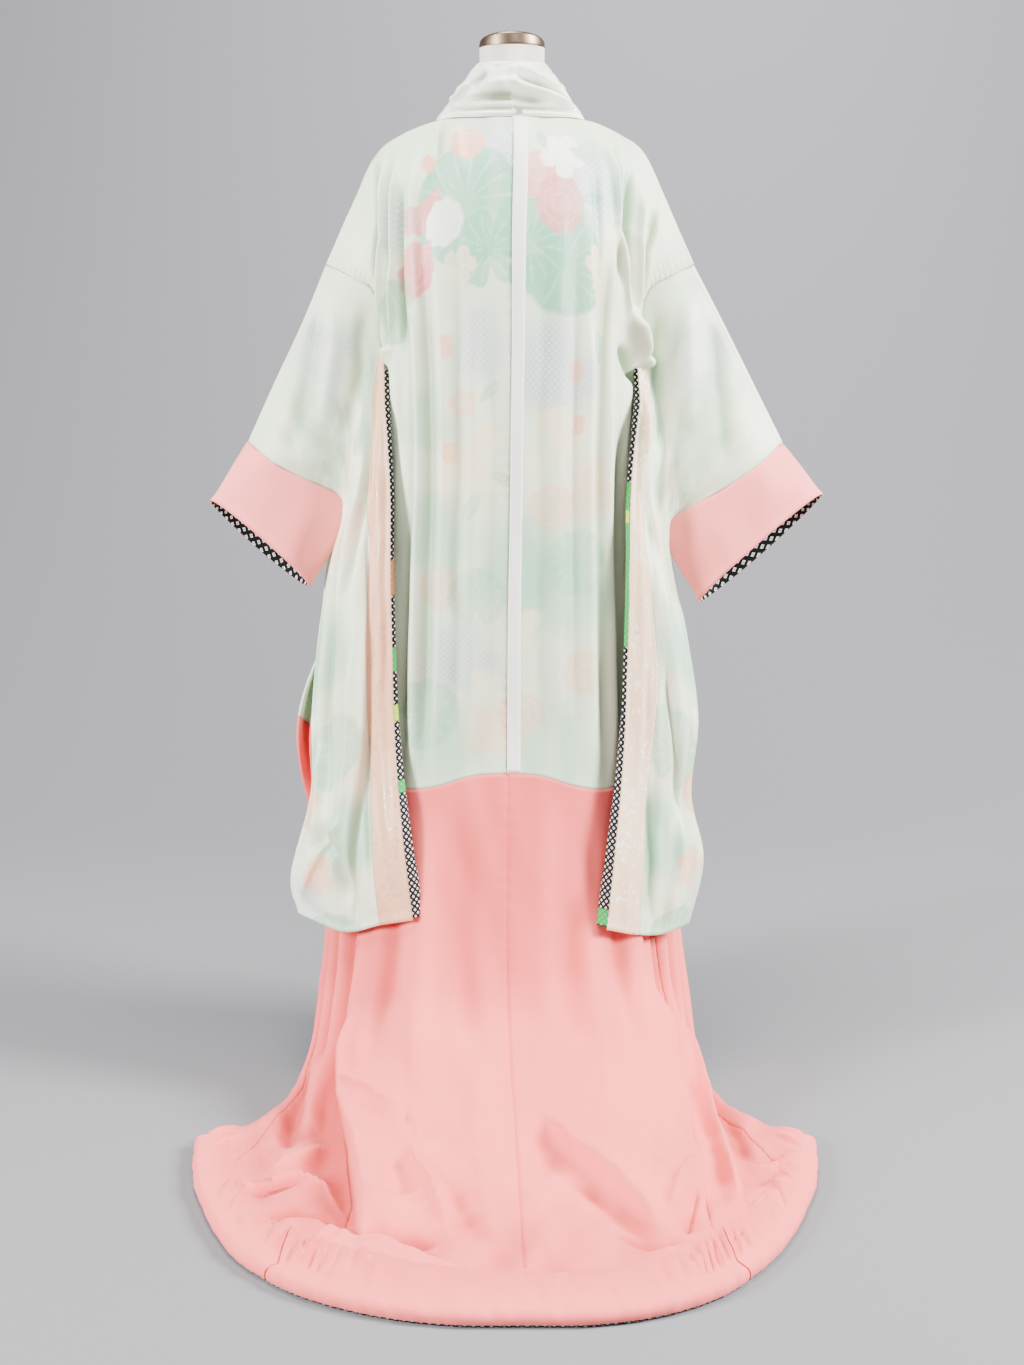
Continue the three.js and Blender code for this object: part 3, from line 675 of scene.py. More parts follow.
@dataclass(frozen=True)
class Crepe:
    """Soft crepe silk, nearly matte, with a fine pebbled face; random mottle and painted shade in the hollows
    of its folds turn it towards the deep colour.
    """
    name: str
    colour: Triple
    # deep: the colour of the random mottle and of the painted shade in the hollows
    deep: Triple
    roughness: float = 0.72

    def make(self) -> Material:
        """Builds the material.

        Returns:
            The material.
        """
        nodes = Nodes(self.name)
        place = nodes.coordinates()
        cloudy = nodes.noise(place, 5.0, 5.0, 0.6)
        fibre = nodes.streaks(place, 700.0, 240.0, 2.0)
        # The tint's alpha is painted shade: how deep the cloth lies in its folds.
        hollow = nodes.tint()["Alpha"]
        share = nodes.math("MULTIPLY", nodes.math("ADD", cloudy, nodes.math("MULTIPLY", fibre, 0.5)), 0.22)
        share = nodes.math("ADD", share, hollow)
        nodes.set(Base_Color=nodes.mix(share, self.colour, self.deep), Roughness=self.roughness,
                  Sheen_Weight=0.12, Sheen_Roughness=0.5, Specular_IOR_Level=0.18)
        nodes.relief(nodes.streaks(place, 30.0, 12.0, 4.0), 0.0012)
        nodes.relief(nodes.noise(place, 900.0, 2.0), 0.00012)
        return nodes.material


@dataclass(frozen=True)
class Satin:
    """Glossy satin, for the collar; random mottle and painted shade in the hollows of its folds turn it
    khaki.
    """
    name: str = "collar_satin"
    colour: Triple = linear(0xFAFDEE)

    def make(self) -> Material:
        """Builds the material.

        Returns:
            The material.
        """
        nodes = Nodes(self.name)
        place = nodes.coordinates()
        # The tint's alpha is painted shade: how deep the satin lies in its folds.
        hollow = nodes.tint()["Alpha"]
        share = nodes.math("ADD", nodes.math("MULTIPLY", nodes.noise(place, 16.0, 4.0), 0.3), hollow)
        rise = nodes.add("SeparateXYZ", {0: place}).outputs[1]
        silk = nodes.mix(share, self.colour, linear(0x8E9B78))
        piped = nodes.mix(nodes.math("LESS_THAN", rise, 0.0014), silk, linear(0x9A6F4C))
        nodes.set(Base_Color=piped, Roughness=0.24,
                  Anisotropic=0.5, Specular_IOR_Level=0.7, Sheen_Weight=0.15)
        nodes.relief(nodes.streaks(place, 14.0, 50.0, 4.0), 0.0018)
        nodes.relief(nodes.threads(place, 0.0006), 0.00003)
        return nodes.material


@dataclass(frozen=True)
class Jacquard:
    """Cream satin with a woven flower pattern that shows by its gloss."""
    name: str = "cream_jacquard"
    cream: Triple = linear(0xE4C9A4)
    peach: Triple = linear(0xF2A67F)
    warmth: float = 0.0
    figure: Triple = linear(0xFFFDF4)

    def make(self) -> Material:
        """Builds the material: cells of a Voronoi texture give petals, bent by a noise.

        Returns:
            The material.
        """
        nodes = Nodes(self.name)
        place = nodes.coordinates()
        bend = nodes.add("TexNoise", {"Vector": place, "Scale": 60.0}).outputs[1]
        bend = nodes.add("VectorMath", {0: bend, 3: 0.012}, operation="SCALE").outputs[0]
        bent = nodes.add("VectorMath", {0: place, 1: bend}, operation="ADD").outputs[0]
        petals = nodes.add("TexVoronoi", {"Vector": bent, "Scale": 130.0, "Randomness": 0.8},
                           feature="SMOOTH_F1").outputs[0]
        groups = nodes.add("TexVoronoi", {"Vector": bent, "Scale": 36.0}).outputs[0]
        clustered = nodes.math("LESS_THAN", groups, 0.52)
        flower = nodes.math("MULTIPLY", nodes.math("LESS_THAN", petals, 0.36), clustered)
        warm = nodes.math("MULTIPLY", nodes.streaks(place, 8.0, 3.2, 2.0), 1.2)
        shade = nodes.mix(nodes.math("ADD", warm, self.warmth - 0.6), self.cream, self.peach)
        nodes.set(Base_Color=nodes.mix(nodes.math("MULTIPLY", flower, 0.5), shade, self.figure),
                  Roughness=nodes.math("SUBTRACT", 0.48, nodes.math("MULTIPLY", flower, 0.2)),
                  Anisotropic=0.3, Specular_IOR_Level=0.6, Sheen_Weight=0.2)
        nodes.relief(flower, 0.0004)
        nodes.relief(nodes.streaks(place, 50.0, 15.0, 3.0), 0.0010)
        return nodes.material


@dataclass(frozen=True)
class FaceCloth:
    """Black silk with small white tie-dyed dots and printed patches of bright colour."""
    name: str = "face_cloth"
    pitch: float = 0.0068

    def make(self) -> Material:
        """Builds the material.

        Returns:
            The material.
        """
        nodes = Nodes(self.name)
        place = nodes.coordinates()
        dots = nodes.dots(place, self.pitch)
        ground = nodes.mix(dots, linear(0x08080B), linear(0xD9D7CF))
        tint = nodes.tint()
        colour = nodes.mix(tint["Alpha"], ground, tint["Color"])
        nodes.set(Base_Color=colour, Roughness=0.7, Specular_IOR_Level=0.15)
        nodes.relief(dots, 0.0003)
        return nodes.material


@dataclass(frozen=True)
class PrintedFace:
    """The face cloth's wide areas: dotted black ground with generic flower and leaf patches."""
    name: str = "face_print"

    def make(self) -> Material:
        """Builds the material: Voronoi cells pick the patches and their colours.

        Returns:
            The material.
        """
        nodes = Nodes(self.name)
        place = nodes.coordinates()
        ground = nodes.mix(nodes.dots(place, 0.0052), linear(0x16161C), linear(0xC8C6C0))
        cell = nodes.add("TexVoronoi", {"Vector": place, "Scale": 7.0, "Randomness": 0.9})
        edge = nodes.math("ADD", cell.outputs[0], nodes.math("MULTIPLY", nodes.noise(place, 30.0, 2.0), 0.3))
        patch = nodes.math("LESS_THAN", edge, 0.52)
        chance = nodes.add("SeparateColor", {0: cell.outputs[1]}).outputs[0]
        pick = nodes.add("ValToRGB", {0: chance})
        ramp = pick.color_ramp
        ramp.interpolation = "CONSTANT"
        ramp.elements[0].color = (*linear(0x2B8A4E), 1)
        ramp.elements[1].position = 0.3
        ramp.elements[1].color = (*linear(0xC9565B), 1)
        for position, code in ((0.55, 0xE9D9C4), (0.75, 0xC4823C), (0.9, 0x6FA348)):
            ramp.elements.new(position).color = (*linear(code), 1)
        colour = nodes.mix(patch, ground, pick.outputs[0])
        nodes.set(Base_Color=colour, Roughness=0.62, Specular_IOR_Level=0.4)
        return nodes.material


@dataclass(frozen=True)
class Linen:
    """Natural linen stretched over the form."""
    name: str = "linen"

    def make(self) -> Material:
        """Builds the material.

        Returns:
            The material.
        """
        nodes = Nodes(self.name)
        place = nodes.coordinates()
        slub = nodes.streaks(place, 120.0, 900.0, 3.0)
        nodes.set(Base_Color=nodes.mix(slub, linear(0xFFF4E8), linear(0xF2E2D2)), Roughness=0.88,
                  Sheen_Weight=0.2, Specular_IOR_Level=0.3)
        nodes.relief(nodes.threads(place, 0.0016), 0.0002)
        nodes.relief(slub, 0.0002)
        return nodes.material


@dataclass(frozen=True)
class Metal:
    """Brushed metal."""
    name: str
    colour: Triple
    roughness: float = 0.34

    def make(self) -> Material:
        """Builds the material.

        Returns:
            The material.
        """
        nodes = Nodes(self.name)
        place = nodes.coordinates("Object")
        brush = nodes.noise(nodes.stretched(place, (6.0, 6.0, 900.0)), 1.0, 3.0)
        worn = nodes.noise(place, 40.0, 4.0)
        colour = nodes.mix(nodes.math("MULTIPLY", worn, 0.35), self.colour, linear(0xC9B49A))
        roughness = nodes.math("ADD", self.roughness, nodes.math("MULTIPLY", brush, 0.12))
        nodes.set(Base_Color=colour, Metallic=1.0, Roughness=roughness)
        nodes.relief(brush, 0.00005)
        return nodes.material


class Finishes:
    """All the materials, made once."""

    def __init__(self) -> None:
        """Makes each finish."""
        self.mint = LiningSilk().make()
        # The pink lining's deep colour is its painted shade in the hollows, and its random mottle.
        self.pink = Crepe("pink_lining", PINK, linear(0xCB4643)).make()
        self.cuff = Crepe("cuff_crepe", linear(0xFF8E89), linear(0xF57A76), 0.66).make()
        self.collar = Satin().make()
        # The left facing is a warmer peach copy of the jacquard, made darker as painted shade, since it lies
        # in shade.
        peach = Jacquard("peach_jacquard", linear(0xD8B593), linear(0xE8946A), 0.45, linear(0xC4A183))
        self.jacquard = {Side.LEFT: peach.make(), Side.RIGHT: Jacquard().make()}
        self.strip = Crepe("ivory_strip", linear(0xF6F6F0), linear(0xE9EAE0), 0.5).make()
        self.dots = FaceCloth().make()
        self.face = PrintedFace().make()
        self.linen = Linen().make()
        self.bronze = Metal("bronze", linear(0x5E4A3A)).make()
        self.steel = Metal("steel", linear(0xC4C6C8), 0.25).make()


# ---- Meshes ----


def quads_of(index: Array) -> Array:
    """The four corners of every cell of a grid of point numbers, one cell a row."""
    return np.stack([index[:-1, :-1], index[:-1, 1:], index[1:, 1:], index[1:, :-1]], axis=-1).reshape(-1, 4)


def make_grid(name: str, points: Array, materials: Sequence[Material], outward: int,
              uv: Optional[tuple[Array, Array]] = None, tint: Optional[Array] = None,
              wall: float = WALL, round_u: bool = False) -> Piece:
    """A mesh over a grid of points, given a wall inwards.

    Args:
        name: name of the piece.
        points: (rows, columns, 3) points in millimetres.
        materials: outer finish, then the finish of the inner face and rim.
        outward: +1 where gradient across x gradient down points out, -1 where it points in.
        uv: millimetres across and down at each point; the cloth's own lengths if left out.
        tint: (rows, columns, 4) colours of the "tint" attribute.
        wall: thickness in millimetres; 0 leaves the surface single.
        round_u: whether the last column joins the first.

    Returns:
        The object, riding on the root body.
    """
    rows, columns = points.shape[:2]
    across, down = uv if uv is not None else cloth_lengths(points)
    index = np.arange(rows * columns).reshape(rows, columns)
    if round_u:
        index = np.concatenate([index, index[:, :1]], axis=1)
        step = np.linalg.norm(points[:, 0] - points[:, -1], axis=1)
        across = np.concatenate([across, across[:, -1:] + step[:, None]], axis=1)
        down = np.concatenate([down, down[:, :1]], axis=1)
    quads = quads_of(index)
    uv_quads = quads_of(np.arange(across.size).reshape(across.shape))
    if outward < 0:
        quads = quads[:, ::-1]
        uv_quads = uv_quads[:, ::-1]
    mesh = bpy.data.meshes.new(name)
    mesh.vertices.add(rows * columns)
    mesh.vertices.foreach_set("co", (points.reshape(-1, 3) * MM).ravel())
    mesh.loops.add(quads.size)
    mesh.loops.foreach_set("vertex_index", quads.ravel())
    mesh.polygons.add(len(quads))
    mesh.polygons.foreach_set("loop_start", np.arange(0, quads.size, 4))
    mesh.update(calc_edges=True)
    mesh.polygons.foreach_set("use_smooth", np.ones(len(quads), bool))
    layer = mesh.uv_layers.new(name="cloth")
    places = np.stack([across.ravel(), down.ravel()], axis=-1)[uv_quads.ravel()] * MM
    layer.data.foreach_set("uv", places.ravel())
    if tint is not None:
        colours = mesh.color_attributes.new("tint", "FLOAT_COLOR", "POINT")
        colours.data.foreach_set("color", tint.reshape(-1).astype(np.float32))
    mesh.validate()
    piece = bpy.data.objects.new(name, mesh)
    bpy.context.scene.collection.objects.link(piece)
    for material in materials:
        mesh.materials.append(material)
    if wall > 0:
        solid = piece.modifiers.new("wall", "SOLIDIFY")
        solid.thickness = wall * MM
        solid.offset = -1.0
        solid.use_even_offset = False
        if len(materials) > 1:
            solid.material_offset = 1
    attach(piece, "root")
    return piece


LEAST_STEPS = 8


def even_places(low: float, high: float, locate: Callable, step: float) -> Array:
    """Places from low to high that lie evenly along a line on the surface.

    Args:
        low: first place.
        high: last place.
        locate: function from an array of places to (N, 3) points in millimetres.
        step: wanted distance in millimetres.

    Returns:
        The places, low and high among them.
    """
    rough = np.linspace(low, high, 400)
    length = travelled(locate(rough))
    count = max(LEAST_STEPS, int(length[-1] / step))
    return np.interp(np.linspace(0, length[-1], count + 1), length, rough)


def refinish(name: str, material: Material) -> None:
    """Gives a CAD node that stays a finish of its own."""
    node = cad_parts[name]
    node.data.materials.clear()
    node.data.materials.append(material)


# ---- The floral print that shows through the lining ----


class Motif(Enum):
    """Kinds of motif in the print."""
    ROUND_LEAF = "round leaf"
    LEAF = "leaf"
    BLOSSOM = "blossom"
    PEONY = "peony"
    FAN = "fan"
    CLOUD = "cloud"
    BUD = "bud"


TINTS = {name: linear(code) for name, code in (
    ("green", 0x72BD96), ("pink", 0xF28385), ("white", 0xFFFFEE), ("peach", 0xFBA87B),
    ("lilac", 0xABB7C4), ("cream", 0xF4E4BC), ("rose", 0xF09890), ("sage", 0x93C8A8),
)}

# kind, across (left negative), down, radius, turn in degrees, tint, strength
BACK_PRINT = (
    ("cloud", -30, 50, 62, 0, "lilac", 0.7), ("cloud", 112, 92, 66, 0, "lilac", 0.8),
    ("cloud", 60, 330, 74, 0, "lilac", 0.75), ("cloud", -44, 300, 52, 0, "lilac", 0.6),
    ("cloud", 20, 600, 84, 0, "sage", 0.8), ("cloud", 74, 640, 90, 0, "green", 0.55),
    ("cloud", -110, 560, 70, 0, "sage", 0.6), ("cloud", -70, 740, 64, 0, "lilac", 0.7),
    ("cloud", -96, 880, 70, 0, "green", 0.6), ("cloud", 70, 880, 84, 0, "sage", 0.7),
    ("cloud", -128, 400, 56, 0, "green", 0.45), ("cloud", -60, 470, 60, 0, "cream", 0.8),
    ("cloud", 120, 500, 56, 0, "peach", 0.45), ("cloud", -20, 860, 50, 0, "peach", 0.5),
    ("round leaf", -66, 126, 80, 25, "green", 0.95), ("round leaf", 74, 200, 68, 200, "green", 1.0),
    ("round leaf", 24, 178, 58, 140, "green", 0.9), ("round leaf", -34, 186, 50, 80, "green", 0.8),
    ("peony", 34, 92, 33, 10, "pink", 0.85), ("peony", 68, 128, 37, 40, "pink", 0.8),
    ("blossom", 70, 62, 36, 12, "white", 1.0), ("peony", -66, 46, 27, 30, "peach", 0.85),
    ("fan", -138, 116, 38, 75, "pink", 0.9), ("peony", -98, 146, 30, 20, "white", 0.95),
    ("peony", -146, 196, 38, 60, "pink", 1.0), ("fan", -140, 168, 28, 90, "rose", 0.8),
    ("bud", -126, 66, 17, 40, "peach", 0.8), ("leaf", -104, 92, 24, 60, "green", 0.7),
    ("blossom", -74, 202, 26, 0, "cream", 0.9), ("blossom", 128, 190, 25, 30, "cream", 0.95),
    ("blossom", 134, 224, 20, 60, "cream", 0.9), ("leaf", 96, 60, 18, 30, "green", 0.8),
    ("leaf", 116, 112, 20, 160, "green", 0.8), ("leaf", 110, 138, 20, 30, "green", 0.7),
    ("leaf", 40, 40, 18, 250, "green", 0.8), ("bud", 92, 330, 16, 85, "peach", 0.9),
    ("bud", 96, 402, 15, 95, "peach", 0.9), ("blossom", 62, 400, 30, 0, "cream", 0.9),
    ("blossom", 84, 434, 24, 30, "cream", 0.85), ("blossom", 40, 452, 24, 10, "cream", 0.8),
    ("blossom", -34, 420, 26, 0, "cream", 0.85), ("blossom", -70, 372, 22, 40, "peach", 0.55),
    ("bud", -92, 300, 16, 80, "peach", 0.7), ("bud", -86, 440, 18, 100, "peach", 0.7),
    ("leaf", -30, 356, 20, 320, "green", 0.6), ("leaf", -10, 478, 24, 30, "green", 0.6),
    ("leaf", -56, 520, 26, 120, "green", 0.55), ("peony", 60, 520, 36, 0, "peach", 0.5),
    ("peony", -100, 640, 34, 0, "peach", 0.45), ("peony", 112, 760, 34, 0, "peach", 0.5),
    ("fan", 36, 700, 36, 200, "cream", 0.8), ("blossom", -30, 780, 28, 0, "cream", 0.7),
    ("peony", 20, 830, 36, 0, "rose", 0.45), ("round leaf", 100, 600, 50, 30, "green", 0.5),
    ("round leaf", -46, 650, 44, 90, "green", 0.45), ("round leaf", -120, 820, 52, 160, "green", 0.6),
    ("leaf", 128, 300, 26, 80, "green", 0.6), ("blossom", 150, 268, 24, 0, "cream", 0.7),
    ("fan", 168, 150, 30, 110, "cream", 0.7), ("round leaf", -186, 240, 50, 10, "green", 0.55),
    ("cloud", 176, 90, 44, 0, "green", 0.5), ("cloud", -196, 120, 50, 0, "lilac", 0.5),
)

# The sleeves' print: across from the body side, down from the top fold.
SLEEVE_PRINT = (
    ("cloud", 120, 60, 70, 0, "lilac", 0.5), ("cloud", 60, 190, 60, 0, "sage", 0.7),
    ("round leaf", 210, 120, 60, 30, "green", 0.35), ("blossom", 150, 210, 34, 0, "cream", 0.8),
    ("cloud", 220, 300, 70, 0, "sage", 0.6), ("peony", 110, 330, 40, 0, "peach", 0.35),
    ("cloud", 150, 480, 80, 0, "sage", 0.8), ("fan", 200, 560, 46, 60, "white", 0.6),
    ("round leaf", 120, 640, 60, 100, "green", 0.55), ("peony", 190, 700, 44, 0, "peach", 0.7),
    ("cloud", 90, 780, 70, 0, "green", 0.75), ("blossom", 160, 820, 36, 0, "peach", 0.6),
    ("cloud", 210, 880, 70, 0, "lilac", 0.7), ("round leaf", 140, 930, 56, 40, "green", 0.7),
)


def motif_shape(kind: Motif, x: Array, y: Array, turn: float) -> tuple[Array, Array]:
    """Shape of a motif of radius 1 round the origin.

    Each outline is a radius that waves with the angle; inner lines are thin bands of angle or
    radius.

    Args:
        kind: the motif.
        x: places across, in radii.
        y: places down, in radii.
        turn: turn in radians.

    Returns:
        How much of each place the motif covers, and how much of it is an inner line.
    """
    radius = np.hypot(x, y)
    angle = np.arctan2(y, x) - turn
    soft = 0.03
    lines = np.zeros_like(radius)
    if kind is Motif.CLOUD:
        edge = 1 + 0.14 * np.sin(3 * angle) + 0.08 * np.sin(5 * angle + 1)
        return 1 - smooth(radius / edge, 0.45, 1.1), lines
    if kind is Motif.ROUND_LEAF:
        edge = 0.93 + 0.05 * np.abs(np.sin(5.5 * angle)) - 0.5 * bump(np.sin(angle / 2) / 0.1)
        ribs = bump(np.sin(7 * angle + 0.6 * np.sin(3 * radius)) / 0.2) * smooth(radius, 0.08, 0.25)
        lines = ribs * (1 - smooth(radius, 0.7, 0.95))
    elif kind is Motif.LEAF:
        along = x * math.cos(turn) + y * math.sin(turn)
        aside = -x * math.sin(turn) + y * math.cos(turn)
        inside = 0.38 * np.clip(1 - along * along, 0, 1) - np.abs(aside)
        return smooth(inside, -soft, soft), bump(aside / 0.05) * smooth(inside, 0, soft)
    elif kind is Motif.BLOSSOM:
        notch = bump(np.sin(2.5 * angle + math.pi / 2) / 0.12)
        edge = 0.62 + 0.34 * np.abs(np.cos(2.5 * angle)) ** 0.7 - 0.1 * notch
        lines = np.maximum(bump((radius - 0.16) / 0.05), bump(np.cos(2.5 * angle) / 0.09) * (radius > 0.2))
    elif kind is Motif.PEONY:
        edge = 0.88 + 0.1 * np.abs(np.sin(4.5 * angle)) ** 0.8
        inner = bump((radius - 0.6 - 0.07 * np.abs(np.sin(3.5 * angle + 1))) / 0.03)
        heart = bump((radius - 0.3 - 0.05 * np.abs(np.sin(2.5 * angle))) / 0.03)
        lines = np.maximum(0.7 * inner, 0.7 * heart)
        lines = np.maximum(lines, 0.6 * bump(np.sin(4.5 * angle) / 0.1) * smooth(radius, 0.62, 0.8))
    elif kind is Motif.FAN:
        edge = (0.88 + 0.1 * np.abs(np.sin(8 * angle))) * (np.cos(angle) > -0.25)
        lines = bump(np.sin(8 * angle) / 0.22) * smooth(radius, 0.2, 0.5)
    else:
        edge = 0.45 + 0.5 * np.abs(np.cos(angle))
    return smooth(edge - radius, -soft, soft), lines


def paint_print(across: Array, down: Array, motifs: Sequence[tuple], ground: tuple,
                seed: int) -> Array:
    """Colours of the lining with the print behind it.

    Args:
        across: millimetres across, negative on the left.
        down: millimetres down.
        motifs: rows of a print table.
        ground: the lining's own colour.
        seed: seed of the uneven show-through.

    Returns:
        Colours, and in the alpha how much the tie-dyed dots show, in the shape of across.
    """
    colour = np.broadcast_to(np.array(ground), across.shape + (3,)).copy()
    blotch = ripple(across, down, seed, (190.0, 260.0), 0.5, 7)
    warm = np.clip(blotch, 0, 1)[..., None] * 0.35
    colour = colour * (1 - warm) + np.array(linear(0xF4E6CC)) * warm
    show = 0.86 + 0.14 * np.clip(ripple(across, down, seed + 1, (46.0, 400.0), 1.0, 6), -1, 1)
    pale = np.array(linear(0xFBFBEE))
    dotted = np.zeros(across.shape)
    for kind, x, y, radius, turn, tint, strength in motifs:
        near = (np.abs(across - x) < 1.3 * radius) & (np.abs(down - y) < 1.3 * radius)
        if not near.any():
            continue
        aside, below = (across[near] - x) / radius, (down[near] - y) / radius
        cover, lines = motif_shape(Motif(kind), aside, below, math.radians(turn))
        share = (cover * strength * show[near])[:, None]
        mixed = colour[near] * (1 - share) + np.array(TINTS[tint]) * share
        light = (lines * cover * 0.36)[:, None]
        colour[near] = mixed * (1 - light) + pale * light
        dotted[near] = dotted[near] * (1 - share[:, 0]) + share[:, 0] * (tint == "lilac")
    return np.concatenate([colour, dotted[..., None]], axis=-1)


# ---- Body ----


